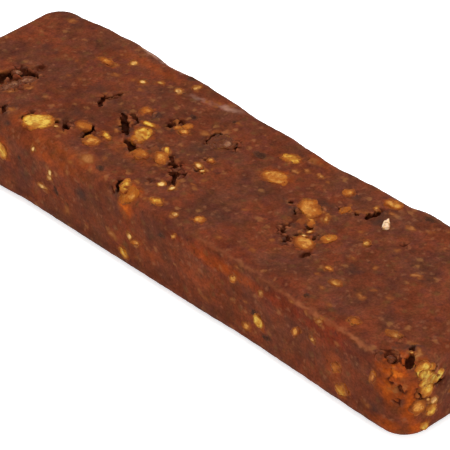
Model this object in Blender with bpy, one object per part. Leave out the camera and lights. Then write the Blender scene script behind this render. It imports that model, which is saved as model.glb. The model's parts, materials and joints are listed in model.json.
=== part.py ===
"""A pressed date, cocoa and nut bar: one solid that lies on its flat underside.

The frame is in metres with +Z up and its origin under the bar's middle. +X runs
along the bar to its right end, and -Y is the long side called the near side.
Sizes and places below are in millimetres.
"""

import random
from math import hypot, radians

import bmesh
import bpy
from mathutils import Matrix, Vector, noise
from mathutils.bvhtree import BVHTree

MM = 0.001

# The pressed block.
LENGTH = 99.4
WIDTH = 27.8
HEIGHT = 13.5
PLAN_CORNER = 4.4
TOP_EDGE = 1.5
BOTTOM_EDGE = 2.2
GRID = 2.0

# How far each long side bulges out at places along the bar: (x, outwards).
NEAR_SIDE = (
    (-50, 0.2), (-34, 0.6), (-28, 0.1), (-4, 0.0), (8, -0.1), (17, -0.35),
    (28, -0.15), (36, 0.1), (43, 0.25), (50, 0.1),
)
FAR_SIDE = (
    (-50, -0.3), (-46, -0.6), (-38, 0.2), (-33, 0.5), (-26, -0.1), (-20, 0.3),
    (-14, 0.2), (-6, -0.3), (0, -0.1), (10, -0.55), (18, 0.0), (24, 0.2),
    (27, 0.7), (34, 0.8), (42, 0.3), (50, -0.2),
)

# The paste's own unevenness: (height of the swell, distance between swells).
SWELLS = ((0.22, 9.0), (0.10, 3.2))

# Cracks and pits: (face, along, across, length, width, depth, turn in degrees).
PITS = (
    ("top", -38.2, -6.0, 6.2, 4.4, 1.8, -42),
    ("top", -18.9, -2.2, 6.0, 1.2, 2.2, -38),
    ("top", -14.4, -5.4, 3.9, 1.3, 1.9, -36),
    ("top", -21.3, -7.5, 3.5, 1.0, 1.4, -70),
    ("top", -25.4, -8.7, 2.8, 1.0, 1.1, 4),
    ("top", -30.1, -12.2, 2.2, 0.6, 0.9, -66),
    ("top", -25.6, 0.3, 3.5, 0.6, 0.8, 88),
    ("top", -14.1, 3.0, 2.6, 0.8, 1.1, -48),
    ("top", -7.6, 4.7, 2.9, 0.6, 1.4, -64),
    ("top", -6.4, -3.8, 1.9, 1.2, 1.3, 10),
    ("top", -4.2, -6.3, 3.4, 0.9, 2.0, -46),
    ("top", 13.0, 0.9, 1.6, 0.8, 0.9, -35),
    ("top", 17.8, -0.7, 1.2, 1.0, 0.9, 60),
    ("top", 19.9, -1.4, 1.6, 1.0, 1.0, 80),
    ("top", 15.3, -2.8, 2.0, 1.0, 0.9, -70),
    ("top", 17.5, -4.8, 1.8, 1.0, 1.0, -75),
    ("top", 22.2, -5.1, 1.2, 1.2, 1.0, 0),
    ("top", 21.8, 8.0, 2.2, 1.2, 1.4, 70),
    ("top", 46.8, -9.8, 1.3, 0.8, 0.8, -70),
    ("top", 48.9, -11.8, 3.0, 1.4, 1.6, -58),
    ("top", 46.4, -13.5, 3.2, 2.4, 1.7, -10),
    ("top", -8.6, -13.6, 3.8, 1.1, 1.9, -58),
    ("near", 48.7, 9.7, 2.2, 1.3, 1.3, 75),
    ("right", -9.7, 10.9, 1.4, 0.9, 1.1, -30),
    ("right", -10.8, 7.8, 1.6, 0.8, 0.9, 60),
    ("top", 30.5, 6.0, 2.4, 0.9, 1.2, 30),
    ("far", -12.0, 8.5, 3.6, 1.1, 1.6, 30),
    ("far", 33.0, 7.0, 3.0, 1.3, 1.5, -20),
    ("left", 4.0, 8.0, 2.8, 1.1, 1.4, 50),
    ("right", 5.0, 7.5, 2.6, 1.0, 1.3, -55),
)

# Chopped nuts that break the surface: (face, along, across, length, width, turn).
NUTS = (
    ("top", -28.2, -10.2, 4.2, 3.6, 20),
    ("top", -19.0, -8.5, 3.1, 2.7, 60),
    ("top", -15.6, -1.6, 5.4, 3.2, -62),
    ("top", -11.6, -5.6, 2.5, 2.4, 0),
    ("top", -9.3, -4.0, 2.7, 2.0, -30),
    ("top", -12.0, 3.5, 3.3, 2.8, 40),
    ("top", 5.9, 4.5, 4.3, 2.8, 10),
    ("top", 4.1, 9.5, 2.9, 1.7, 10),
    ("top", 14.5, 2.4, 4.4, 3.4, -30),
    ("top", 19.8, -3.7, 3.6, 2.9, -25),
    ("top", 22.0, -0.8, 2.5, 2.3, 60),
    ("top", 16.6, 0.5, 2.2, 1.3, -10),
    ("top", -33.0, 7.1, 3.1, 1.3, 5),
    ("top", -30.0, 9.8, 1.6, 1.4, 80),
    ("top", -25.3, 7.3, 1.4, 1.1, 0),
    ("top", -19.3, 2.6, 2.0, 1.6, 30),
    ("top", -18.8, -6.0, 2.3, 1.2, -15),
    ("top", -23.0, -6.6, 2.2, 1.8, 0),
    ("top", -3.7, -1.5, 1.7, 1.3, 20),
    ("top", -4.3, -8.4, 1.6, 1.4, 0),
    ("top", -2.3, -8.2, 1.6, 1.3, 0),
    ("top", -1.6, -11.8, 2.1, 1.4, 0),
    ("top", 5.8, -10.5, 1.9, 1.7, 0),
    ("top", 2.5, -12.2, 1.4, 1.1, 0),
    ("top", -6.4, -13.2, 3.4, 2.4, 25),
    ("top", 22.3, 12.0, 2.5, 1.4, 0),
    ("top", 25.1, 7.9, 2.4, 1.1, -58),
    ("top", 28.0, 9.7, 1.6, 1.1, 0),
    ("top", 18.5, 6.2, 1.6, 1.3, 0),
    ("top", 26.1, 2.5, 1.5, 1.1, 0),
    ("top", 26.6, -5.5, 1.6, 0.9, 0),
    ("top", 29.7, -6.9, 2.1, 1.5, 30),
    ("top", 34.0, -6.4, 1.4, 1.2, 0),
    ("top", 37.3, -11.2, 1.9, 1.4, 0),
    ("top", 43.2, -9.5, 2.6, 1.4, 15),
    ("top", -37.6, -4.9, 3.2, 2.0, 30),
    ("top", -35.8, -6.3, 2.2, 1.1, -20),
    ("near", -32.6, 8.0, 2.8, 1.9, -70),
    ("near", -22.3, 8.3, 2.1, 1.2, 70),
    ("near", -23.9, 5.9, 2.4, 1.1, 0),
    ("near", -4.9, 6.4, 2.6, 1.2, -10),
    ("near", -6.5, 3.0, 2.0, 1.4, -35),
    ("near", 15.9, 10.3, 2.0, 1.2, 50),
    ("near", 21.8, 5.7, 2.1, 1.8, 0),
    ("near", 28.4, 8.0, 2.1, 1.2, 60),
    ("near", 33.2, 12.7, 1.6, 0.9, 40),
    ("near", 36.6, 6.6, 2.0, 1.5, 20),
    ("near", 37.7, 3.2, 2.6, 2.1, 20),
    ("near", 43.5, 8.9, 2.0, 1.1, 70),
    ("right", -11.0, 12.0, 2.4, 2.0, -50),
    ("right", -8.5, 9.7, 2.6, 1.2, -10),
    ("right", -9.7, 8.1, 2.5, 1.2, -62),
    ("right", -9.1, 4.4, 2.0, 1.5, -50),
    ("right", -11.8, 6.4, 2.1, 1.9, 0),
)

# The faces out of sight carry nuts of the same sizes, spread by a seeded rule:
# (face, how many, along from, along to, across from, across to).
SPREADS = (
    ("far", 13, -44.0, 44.0, 2.6, 11.2),
    ("left", 4, -9.0, 9.0, 3.0, 11.0),
    ("right", 3, -5.0, 9.0, 3.0, 11.0),
)
SPREAD_SEED = 45
SPREAD_GAP = 4.2
SPREAD_LENGTHS = (1.5, 2.8)
NUT_RISE = 0.28
NUT_DEPTH_TO_WIDTH = 0.62
SMALL_NUT = 1.7
PIT_LIFT = 0.15
CHIP = 0.12
SEED = 7
REACH = 6.0

PASTE_COLOUR = (0.165, 0.050, 0.026, 1.0)
PASTE_ROUGHNESS = 0.5

# Shortest edge that is left in the finished solid.
WELD = 0.005


def clear_scene():
    """Empty the scene that the script was started in."""
    for thing in list(bpy.data.objects):
        bpy.data.objects.remove(thing, do_unlink=True)


def new_collection(name):
    """Make a collection and show it in the scene."""
    collection = bpy.data.collections.new(name)
    bpy.context.scene.collection.children.link(collection)
    return collection


def clamp(value, low, high):
    """Keep a value between two limits."""
    return max(low, min(high, value))


def bulge(table, x):
    """Read a side's bulge at x, in a smooth curve through the table's places."""
    if x <= table[0][0]:
        return table[0][1]
    for (x_0, out_0), (x_1, out_1) in zip(table, table[1:]):
        if x <= x_1:
            t = (x - x_0) / (x_1 - x_0)
            return out_0 + (out_1 - out_0) * t * t * (3.0 - 2.0 * t)
    return table[-1][1]


def steps(low, high, low_edges, high_edges):
    """Places to slice at: close together near both ends, GRID apart between."""
    inner_low = low + low_edges[-1]
    inner_high = high - high_edges[-1]
    count = round((inner_high - inner_low) / GRID)
    middle = [inner_low + (inner_high - inner_low) * i / count for i in range(count + 1)]
    return [low + e for e in low_edges[:-1]] + middle + [high - e for e in high_edges[:-1]]


def sliced_block():
    """Make a box of the bar's size, sliced into a grid that is finer at its edges."""
    block = bmesh.new()
    bmesh.ops.create_cube(block, size=1.0)
    bmesh.ops.scale(block, vec=(LENGTH, WIDTH, HEIGHT), verts=block.verts)
    bmesh.ops.translate(block, vec=(0.0, 0.0, HEIGHT / 2), verts=block.verts)
    corner = (TOP_EDGE / 2, TOP_EDGE, (TOP_EDGE + PLAN_CORNER) / 2, PLAN_CORNER)
    slices = (
        (Vector((1, 0, 0)), steps(-LENGTH / 2, LENGTH / 2, corner, corner)),
        (Vector((0, 1, 0)), steps(-WIDTH / 2, WIDTH / 2, corner, corner)),
        (Vector((0, 0, 1)), steps(0.0, HEIGHT, (BOTTOM_EDGE / 2, BOTTOM_EDGE),
                                  (TOP_EDGE / 2, TOP_EDGE))),
    )
    for normal, places in slices:
        for place in places:
            everything = block.verts[:] + block.edges[:] + block.faces[:]
            bmesh.ops.bisect_plane(block, geom=everything, dist=1e-4,
                                   plane_co=normal * place, plane_no=normal)
    return block


def soften(point):
    """Move one point of the box to the rounded, bulging outline of the bar."""
    x, y, z = point
    core_x = clamp(x, PLAN_CORNER - LENGTH / 2, LENGTH / 2 - PLAN_CORNER)
    core_y = clamp(y, PLAN_CORNER - WIDTH / 2, WIDTH / 2 - PLAN_CORNER)
    out_x = x - core_x
    out_y = y - core_y
    reach = max(abs(out_x), abs(out_y))
    if reach == 0.0:
        return point
    out_x, out_y = Vector((out_x, out_y)).normalized()

    upper = z > HEIGHT / 2
    edge = TOP_EDGE if upper else BOTTOM_EDGE
    across = max(0.0, reach - (PLAN_CORNER - edge))
    up = max(0.0, z - (HEIGHT - edge)) if upper else max(0.0, edge - z)
    if across > 0.0 and up > 0.0:
        shrink = max(across, up) / hypot(across, up)
        reach = PLAN_CORNER - edge + across * shrink
        z = HEIGHT - edge + up * shrink if upper else edge - up * shrink

    side = bulge(NEAR_SIDE, x) if out_y < 0.0 else bulge(FAR_SIDE, x)
    reach_out = reach + side * abs(out_y) * reach / PLAN_CORNER
    return Vector((core_x + out_x * reach_out, core_y + out_y * reach_out, z))


def add_swells(block):
    """Raise and lower the paste in soft swells, but leave the underside flat."""
    block.normal_update()
    moves = []
    for vert in block.verts:
        fade = clamp((vert.co.z - BOTTOM_EDGE) / BOTTOM_EDGE, 0.0, 1.0)
        height = sum(size * noise.noise(vert.co / spread) for size, spread in SWELLS)
        moves.append(vert.normal * height * fade)
    for vert, move in zip(block.verts, moves):
        vert.co += move


def make_paste(collection):
    """Model the bare pressed block of date and cocoa paste."""
    block = sliced_block()
    for vert in block.verts:
        vert.co = soften(vert.co)
    add_swells(block)
    underside = [f for f in block.faces if max(v.co.z for v in f.verts) < 1e-4]
    bmesh.ops.dissolve_faces(block, faces=underside)
    bmesh.ops.triangulate(block, faces=block.faces[:])
    bmesh.ops.recalc_face_normals(block, faces=block.faces[:])
    bmesh.ops.scale(block, vec=(MM, MM, MM), verts=block.verts)
    return mesh_object("bar", block, collection)


def mesh_object(name, shape, collection):
    """Turn a finished bmesh into an object in a collection."""
    mesh = bpy.data.meshes.new(name)
    shape.to_mesh(mesh)
    shape.free()
    thing = bpy.data.objects.new(name, mesh)
    collection.objects.link(thing)
    return thing


def face_axes(face, along, across):
    """Give a face's place at (along, across), and its own along and out axes."""
    x_axis, y_axis, z_axis = Vector((1, 0, 0)), Vector((0, 1, 0)), Vector((0, 0, 1))
    if face == "top":
        return Vector((along, across, HEIGHT)), x_axis, z_axis
    if face == "near":
        return Vector((along, -WIDTH / 2, across)), x_axis, -y_axis
    if face == "far":
        return Vector((along, WIDTH / 2, across)), -x_axis, y_axis
    if face == "right":
        return Vector((LENGTH / 2, along, across)), y_axis, x_axis
    return Vector((-LENGTH / 2, along, across)), -y_axis, -x_axis


def settle(surface, face, along, across):
    """Find the paste's true surface at a place, and three axes that follow it."""
    place, along_axis, out = face_axes(face, along, across)
    hit, normal, _, _ = surface.ray_cast((place + out * REACH) * MM, -out)
    across_axis = normal.cross(along_axis).normalized()
    return hit / MM, across_axis.cross(normal), across_axis, normal


def lump(name, collection, frame, size, turn, sink, fineness, rng):
    """Add a chipped ellipsoid: size along, across and through, sunk below its face."""
    place, along, across, out = frame
    shape = bmesh.new()
    bmesh.ops.create_icosphere(shape, subdivisions=fineness, radius=0.5)
    for vert in shape.verts:
        chip = Vector([rng.uniform(-CHIP, CHIP) for _ in range(3)])
        vert.co = (vert.co + chip * 0.5) * Vector(size)
    axes = Matrix((along, across, out)).transposed().to_4x4()
    stand = Matrix.Translation(place - out * sink) @ axes @ Matrix.Rotation(radians(turn), 4, "Z")
    bmesh.ops.transform(shape, matrix=Matrix.Scale(MM, 4) @ stand, verts=shape.verts)
    return mesh_object(name, shape, collection)


def add_pits(collection, surface, rng):
    """Make the cutters for every crack and pit."""
    for index, (face, along, across, length, width, depth, turn) in enumerate(PITS):
        frame = settle(surface, face, along, across)
        size = (length, width, 2.0 * (depth + PIT_LIFT))
        cutter = lump(f"pit_{index}", collection, frame, size, turn, -PIT_LIFT, 2, rng)
        cutter.hide_render = True
        cutter.display_type = "WIRE"


def add_nut(name, collection, frame, length, width, turn, rng):
    """Add one nut: a big one is rounder, and each stands a little out of the paste."""
    depth = NUT_DEPTH_TO_WIDTH * width
    fineness = 2 if length > SMALL_NUT else 1
    size = (length, width, 2.0 * depth)
    lump(name, collection, frame, size, turn, depth - NUT_RISE, fineness, rng)


def add_shown_nuts(collection, surface, rng):
    """Add the nuts at the places listed above."""
    for index, (face, along, across, length, width, turn) in enumerate(NUTS):
        frame = settle(surface, face, along, across)
        add_nut(f"nut_{index}", collection, frame, length, width, turn, rng)


def add_spread_nuts(collection, surface):
    """Spread nuts over the faces out of sight, never closer than SPREAD_GAP."""
    rng = random.Random(SPREAD_SEED)
    for face, count, along_0, along_1, across_0, across_1 in SPREADS:
        places = []
        while len(places) < count:
            along = rng.uniform(along_0, along_1)
            across = rng.uniform(across_0, across_1)
            if all(hypot(along - a, across - b) > SPREAD_GAP for a, b in places):
                places.append((along, across))
        for index, (along, across) in enumerate(places):
            frame = settle(surface, face, along, across)
            length = rng.uniform(*SPREAD_LENGTHS)
            width = length * rng.uniform(0.55, 0.85)
            add_nut(f"{face}_nut_{index}", collection, frame, length, width,
                    rng.uniform(-80, 80), rng)


def apply_boolean(thing, collection, operation):
    """Cut or join a whole collection with one Boolean, then remove its objects."""
    modifier = thing.modifiers.new(operation.title(), "BOOLEAN")
    modifier.operation = operation
    modifier.operand_type = "COLLECTION"
    modifier.collection = collection
    modifier.solver = "EXACT"
    evaluated = thing.evaluated_get(bpy.context.evaluated_depsgraph_get())
    mesh = bpy.data.meshes.new_from_object(evaluated)
    thing.modifiers.remove(modifier)
    old = thing.data
    thing.data = mesh
    bpy.data.meshes.remove(old)
    for part in list(collection.objects):
        bpy.data.objects.remove(part, do_unlink=True)
    bpy.data.collections.remove(collection)


def islands(shape):
    """List the mesh's separate bodies as sets of vertices."""
    left = set(shape.verts)
    found = []
    while left:
        body = set()
        front = [left.pop()]
        while front:
            vert = front.pop()
            body.add(vert)
            for edge in vert.link_edges:
                other = edge.other_vert(vert)
                if other in left:
                    left.remove(other)
                    front.append(other)
        found.append(body)
    return found


def clean(thing):
    """Keep the one main body, weld its shortest edges and triangulate it."""
    shape = bmesh.new()
    shape.from_mesh(thing.data)
    bodies = islands(shape)
    main = max(bodies, key=len)
    scraps = [vert for body in bodies if body is not main for vert in body]
    bmesh.ops.delete(shape, geom=scraps, context="VERTS")
    bmesh.ops.remove_doubles(shape, verts=shape.verts[:], dist=WELD * MM)
    bmesh.ops.dissolve_degenerate(shape, edges=shape.edges[:], dist=WELD * MM)
    bmesh.ops.triangulate(shape, faces=shape.faces[:])
    bmesh.ops.recalc_face_normals(shape, faces=shape.faces[:])
    shape.to_mesh(thing.data)
    shape.free()


def finish(thing):
    """Give the bar its colour and smooth shading."""
    material = bpy.data.materials.new("date_cocoa_paste")
    material.use_nodes = True
    shader = material.node_tree.nodes["Principled BSDF"]
    shader.inputs["Base Color"].default_value = PASTE_COLOUR
    shader.inputs["Roughness"].default_value = PASTE_ROUGHNESS
    shader.inputs["Metallic"].default_value = 0.0
    thing.data.materials.clear()
    thing.data.materials.append(material)
    thing.data.shade_smooth()
    thing.data.set_sharp_from_angle(angle=radians(50))


def build():
    """Model the bar: the pressed block, its pits, and the nuts fused into it."""
    clear_scene()
    rng = random.Random(SEED)
    bar = make_paste(new_collection("protein_bar"))
    surface = BVHTree.FromObject(bar, bpy.context.evaluated_depsgraph_get())
    pits = new_collection("cutters")
    add_pits(pits, surface, rng)
    apply_boolean(bar, pits, "DIFFERENCE")
    nuts = new_collection("nuts")
    add_shown_nuts(nuts, surface, rng)
    add_spread_nuts(nuts, surface)
    apply_boolean(bar, nuts, "UNION")
    clean(bar)
    finish(bar)


build()
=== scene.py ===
# %% [markdown]
# # A pressed date, cocoa and nut bar
#
# This notebook dresses one food bar: a dense block of date and cocoa paste with
# chopped nuts pressed into it. The solid that carries it is already made and is
# loaded as a fixed frame. Everything you see is modelled here, over that solid.

# %% Load the frame
import json
import math
import random

import bpy
import numpy as np
from mathutils import Matrix, Vector, noise
from mathutils.bvhtree import BVHTree
from mathutils.kdtree import KDTree

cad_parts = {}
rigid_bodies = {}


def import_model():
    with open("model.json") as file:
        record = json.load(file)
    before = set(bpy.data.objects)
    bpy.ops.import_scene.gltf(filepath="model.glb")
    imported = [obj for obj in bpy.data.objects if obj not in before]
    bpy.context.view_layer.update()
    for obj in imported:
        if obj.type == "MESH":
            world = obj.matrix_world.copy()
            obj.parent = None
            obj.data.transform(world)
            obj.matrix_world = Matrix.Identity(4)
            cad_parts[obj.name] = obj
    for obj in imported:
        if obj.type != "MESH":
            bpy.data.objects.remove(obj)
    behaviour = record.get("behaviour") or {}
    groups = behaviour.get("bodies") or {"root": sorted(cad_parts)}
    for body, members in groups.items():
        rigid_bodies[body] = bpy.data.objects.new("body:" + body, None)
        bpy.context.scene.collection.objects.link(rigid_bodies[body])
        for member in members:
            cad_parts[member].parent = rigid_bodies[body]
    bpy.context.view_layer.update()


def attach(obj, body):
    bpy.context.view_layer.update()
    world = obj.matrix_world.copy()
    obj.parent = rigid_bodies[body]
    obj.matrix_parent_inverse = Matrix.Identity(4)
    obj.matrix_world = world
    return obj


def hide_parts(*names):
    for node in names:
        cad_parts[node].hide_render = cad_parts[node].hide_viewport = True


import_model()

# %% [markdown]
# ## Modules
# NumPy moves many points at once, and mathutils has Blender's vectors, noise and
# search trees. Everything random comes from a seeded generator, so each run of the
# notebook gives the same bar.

# %% [markdown]
# ## Working in millimetres
# The bar is ten centimetres long and its nuts are two millimetres across. It could be
# modelled in metres from the start, but Blender's tools have merge limits meant for
# rooms. So each piece is modelled with one unit for a millimetre, and is shrunk by MM
# when it is done.

# %% Sizes of the pressed block, in mm
MM = 0.001
LENGTH = 100.0
WIDTH = 27.8
HEIGHT = 13.5
PLAN_CORNER = 4.4
BOTTOM_EDGE = 1.95

# %% [markdown]
# ## Helpers for selecting by place
# By hand, edges and faces are picked with the mouse. A script picks them by where they
# lie. Every operator works on all that is selected, the nodes of the loaded frame too,
# so these helpers clear the selection first.

# %% Selection helpers
def only(piece):
    """Select one piece and nothing else."""
    bpy.ops.object.select_all(action="DESELECT")
    piece.select_set(True)
    bpy.context.view_layer.objects.active = piece


def pick_edges(piece, wanted):
    """Select the edges whose two end points pass the test, ready for edit mode."""
    mesh = piece.data
    for item in (*mesh.polygons, *mesh.vertices):
        item.select = False
    for edge in mesh.edges:
        ends = [mesh.vertices[i].co for i in edge.vertices]
        edge.select = wanted(*ends)


def edit(piece, mode, step):
    """Run one edit-mode step on what is picked."""
    only(piece)
    modes = ("VERT", "EDGE", "FACE")
    bpy.context.tool_settings.mesh_select_mode = [mode == name for name in modes]
    bpy.ops.object.mode_set(mode="EDIT")
    step()
    bpy.ops.object.mode_set(mode="OBJECT")


def apply_modifiers(piece):
    """Apply all of a piece's modifiers in order."""
    only(piece)
    for modifier in list(piece.modifiers):
        bpy.ops.object.modifier_apply(modifier=modifier.name)


def join(pieces, name):
    """Join several meshes into one piece."""
    bpy.ops.object.select_all(action="DESELECT")
    for piece in pieces:
        piece.select_set(True)
    bpy.context.view_layer.objects.active = pieces[0]
    bpy.ops.object.join()
    pieces[0].name = name
    return pieces[0]


# %% [markdown]
# ## Helpers for points
# A sculptor's brush moves hundreds of points at a time. To do that in a script, a
# mesh's points are read into one array, moved by a rule and written back. A number on
# every point can be stored too, like a mask, and a material can read it.

# %% Point helpers
def points_of(piece):
    """Read a mesh's points as an array."""
    points = np.empty(len(piece.data.vertices) * 3)
    piece.data.vertices.foreach_get("co", points)
    return points.reshape(-1, 3)


def set_points(piece, points):
    """Write an array of points back to a mesh."""
    piece.data.vertices.foreach_set("co", points.ravel())
    piece.data.update()


def normals_of(piece):
    """Read a mesh's point normals as an array."""
    normals = np.empty(len(piece.data.vertices) * 3)
    piece.data.vertices.foreach_get("normal", normals)
    return normals.reshape(-1, 3)


def mark(piece, name, values):
    """Store one number for each point, for a material to read."""
    layer = piece.data.attributes.new(name, "FLOAT", "POINT")
    layer.data.foreach_set("value", np.asarray(values, np.float32))


def triangles_of(piece):
    """Count a mesh's faces as triangles."""
    return sum(len(face.vertices) - 2 for face in piece.data.polygons)


# %% [markdown]
# ## Camera
# The photograph was taken from well back with a long lens, looking down at the near
# right corner. A camera can be aimed by eye, but here a fit of the bar's outline gave
# the angle, the distance and the lens, so that every nut can be placed where it shows.

# %% Camera
VIEW_AZIMUTH = math.radians(46.18)
VIEW_ELEVATION = math.radians(36.43)
VIEW_DISTANCE = 0.537
VIEW_TARGET = Vector((-0.004055, 0.003948, 0.0))
LENS = 291.3

back = Vector((
    math.sin(VIEW_AZIMUTH) * math.cos(VIEW_ELEVATION),
    -math.cos(VIEW_AZIMUTH) * math.cos(VIEW_ELEVATION),
    math.sin(VIEW_ELEVATION),
))
bpy.ops.object.camera_add(location=VIEW_TARGET + back * VIEW_DISTANCE)
camera = bpy.context.object
camera.rotation_mode = "QUATERNION"
camera.rotation_quaternion = (-back).to_track_quat("-Z", "Y")
camera.data.lens = LENS
camera.data.sensor_width = 36.0
camera.data.clip_start = 0.01
camera.data.clip_end = 50.0
bpy.context.scene.camera = camera
print("camera:", round(VIEW_DISTANCE / MM), "mm away, lens", LENS)

# %% [markdown]
# ## Block
# The bar comes out of a tray: straight sides, round corners seen from above, a soft
# lower rim, and an upper rim that is soft at the left and crisp at the right. One
# bevel all round would be quicker, but each kind of edge has its own rounding. So a
# cube is bevelled twice, at the corners and at the lower rim, and the upper rim is left
# sharp for now, because its rounding changes along the bar.

# %% Block
CORNER_STEPS = 9
RIM_STEPS = 6
CLOSE = 0.01

bpy.ops.object.select_all(action="DESELECT")
bpy.ops.mesh.primitive_cube_add(size=1, location=(0, 0, HEIGHT / 2), scale=(LENGTH, WIDTH, HEIGHT))
block = bpy.context.object
block.name = "block"
bpy.ops.object.transform_apply(location=True, rotation=True, scale=True)
pick_edges(block, lambda a, b: (a - b).xy.length < CLOSE)
edit(block, "EDGE", lambda: bpy.ops.mesh.bevel(offset=PLAN_CORNER, segments=CORNER_STEPS))
pick_edges(block, lambda a, b: max(a.z, b.z) < CLOSE)
edit(block, "EDGE", lambda: bpy.ops.mesh.bevel(offset=BOTTOM_EDGE, segments=RIM_STEPS))
print("block:", len(block.data.polygons), "faces")

# %% [markdown]
# ## Places on the bar
# A place is given by the face it is on and two distances along that face. A Shrinkwrap
# modifier could pull each piece onto the bar, but it would bend the piece. This helper
# drops a ray instead and finds the slope there, so that whatever is put there lies in
# the surface, on the flat faces and round the rims alike.

# %% Places
REACH = 6.0
X_AXIS, Y_AXIS, Z_AXIS = Vector((1, 0, 0)), Vector((0, 1, 0)), Vector((0, 0, 1))


def surface_of(piece):
    """Make a tree that rays can be cast at."""
    return BVHTree.FromObject(piece, bpy.context.evaluated_depsgraph_get())


def settle(surface, face, along, across):
    """Find a place on a surface, as a matrix with its along, across and out axes."""
    place, along_axis, out = {
        "top": (Vector((along, across, HEIGHT)), X_AXIS, Z_AXIS),
        "under": (Vector((along, across, 0)), X_AXIS, -Z_AXIS),
        "near": (Vector((along, -WIDTH / 2, across)), X_AXIS, -Y_AXIS),
        "far": (Vector((along, WIDTH / 2, across)), -X_AXIS, Y_AXIS),
        "right": (Vector((LENGTH / 2, along, across)), Y_AXIS, X_AXIS),
        "left": (Vector((-LENGTH / 2, along, across)), -Y_AXIS, -X_AXIS),
    }[face]
    hit, normal, _, _ = surface.ray_cast(place + out * REACH, -out)
    if hit is None:
        hit, normal, _, _ = surface.find_nearest(place)
    across_axis = normal.cross(along_axis).normalized()
    axes = Matrix((across_axis.cross(normal), across_axis, normal)).transposed().to_4x4()
    return Matrix.Translation(hit) @ axes


# %% [markdown]
# ## Rims and bulges
# A bevel has one width all along, but this upper rim is soft at the left of the near
# side and crisp at its right. So each point near the rim slides onto a quarter circle
# of the radius that belongs there. The long sides then bulge as they do on the real
# bar, and the whole skin gets the soft swells that pressing by hand leaves.

# %% Smooth curves and noise
def smooth_step(values, low, high):
    """Go smoothly from 0 at low to 1 at high."""
    t = np.clip((values - low) / (high - low), 0, 1)
    return t * t * (3 - 2 * t)


def bulge(table, x):
    """Read a side's bulge at each x, in a smooth curve through the table's places."""
    out = np.full_like(x, table[0][1])
    for (x_0, out_0), (x_1, out_1) in zip(table, table[1:]):
        out += (out_1 - out_0) * smooth_step(x, x_0, x_1)
    return out


def noise_at(points, spread, shift=0.0):
    """Read smooth noise of one spread, in mm, at every point."""
    return np.array([noise.noise(Vector(p) / spread + Vector((shift, 0, 0))) for p in points])


def waves(points, rows, number=1):
    """Add up noises, each with a size, a spread and a shift that grows with a number."""
    return sum(size * noise_at(points, spread, number * shift) for size, spread, shift in rows)


# %% Sizes of the rims, the bulges and the swells, in mm
SOFT_TOP_EDGE = 2.6
CRISP_TOP_EDGE = 0.9
FAR_TOP_EDGE = 1.2

# The x between which the near upper rim turns from soft to crisp.
RIM_CHANGES = (-14, 10)

# How far each long side bulges out along the bar: (x, outwards).
NEAR_SIDE = (
    (-50, 0.4), (-34, 0.6), (-28, 0.15), (-12, 0.1), (-4, 0.0), (8, -0.1), (17, -0.35),
    (28, -0.15), (36, 0.1), (43, 0.25), (50, 0.1),
)
FAR_SIDE = (
    (-50, -0.5), (-46, -0.85), (-38, 0.1), (-33, 0.5), (-30, 0.68), (-26, 0.04),
    (-20, 0.44), (-15, 0.06), (-12, -0.03), (-7, -0.47), (-0.5, 0.05), (3, -0.3),
    (10, -0.8), (14, -0.3), (18, 0.2), (24, 0.1), (27, 0.75), (34, 0.8), (42, 0.3), (50, -0.2),
)

# Swells of the whole skin, as rows of waves: (size, spread, shift).
SWELLS = ((0.22, 9.0, 0), (0.10, 3.2, 0))

# %% Round the rims, bulge the sides and swell the skin
def round_rim(points):
    """Slide the points near the sharp upper rim onto its rounding."""
    core = np.clip(points[:, :2], (PLAN_CORNER - LENGTH / 2, PLAN_CORNER - WIDTH / 2),
                   (LENGTH / 2 - PLAN_CORNER, WIDTH / 2 - PLAN_CORNER))
    outwards = points[:, :2] - core
    reach = np.linalg.norm(outwards, axis=1)
    direction = outwards / np.maximum(reach, 1e-6)[:, None]
    near = smooth_step(-direction[:, 1], 0.2, 0.8)
    crisp = smooth_step(points[:, 0], *RIM_CHANGES)
    near_edge = SOFT_TOP_EDGE + (CRISP_TOP_EDGE - SOFT_TOP_EDGE) * crisp
    edge = FAR_TOP_EDGE + (near_edge - FAR_TOP_EDGE) * near
    across = np.maximum(reach - (PLAN_CORNER - edge), 0)
    up = np.maximum(points[:, 2] - (HEIGHT - edge), 0)
    shrink = np.maximum(across, up) / np.maximum(np.hypot(across, up), 1e-6)
    rounded = (across > 0) & (up > 0)
    new_reach = np.where(rounded, PLAN_CORNER - edge + across * shrink, reach)
    points[:, :2] = core + direction * new_reach[:, None]
    points[:, 2] = np.where(rounded, HEIGHT - edge + up * shrink, points[:, 2])
    return direction, np.minimum(new_reach / PLAN_CORNER, 1.0)


def shape_skin(piece):
    """Round the upper rim, bulge the long sides and add the swells."""
    points = points_of(piece)
    direction, outer = round_rim(points)
    x = points[:, 0]
    side = np.where(direction[:, 1] < 0, bulge(NEAR_SIDE, x), bulge(FAR_SIDE, x))
    points[:, :2] += direction * (side * np.abs(direction[:, 1]) * outer)[:, None]
    set_points(piece, points)
    fade = np.clip(points[:, 2] / BOTTOM_EDGE - 1.0, 0, 1)
    set_points(piece, points + normals_of(piece) * (waves(points, SWELLS) * fade)[:, None])


def remesh(piece, voxel):
    """Give a piece an even skin of small faces."""
    modifier = piece.modifiers.new("Even skin", "REMESH")
    modifier.mode = "VOXEL"
    modifier.voxel_size = voxel
    apply_modifiers(piece)


# %% [markdown]
# ## A bare bar to lay things on
# Nuts and cracks are placed on the finished form, before anything is cut from it. A
# copy of the block, shaped but coarse, is enough to find places on, and it is quick.

# %% Bare copy
BARE_VOXEL = 0.55

only(block)
bpy.ops.object.duplicate()
bare = bpy.context.object
bare.name = "bare"
remesh(bare, BARE_VOXEL)
shape_skin(bare)
bare_surface = surface_of(bare)
print("bare bar, mm:", points_of(bare).min(0).round(2), points_of(bare).max(0).round(2))

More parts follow.
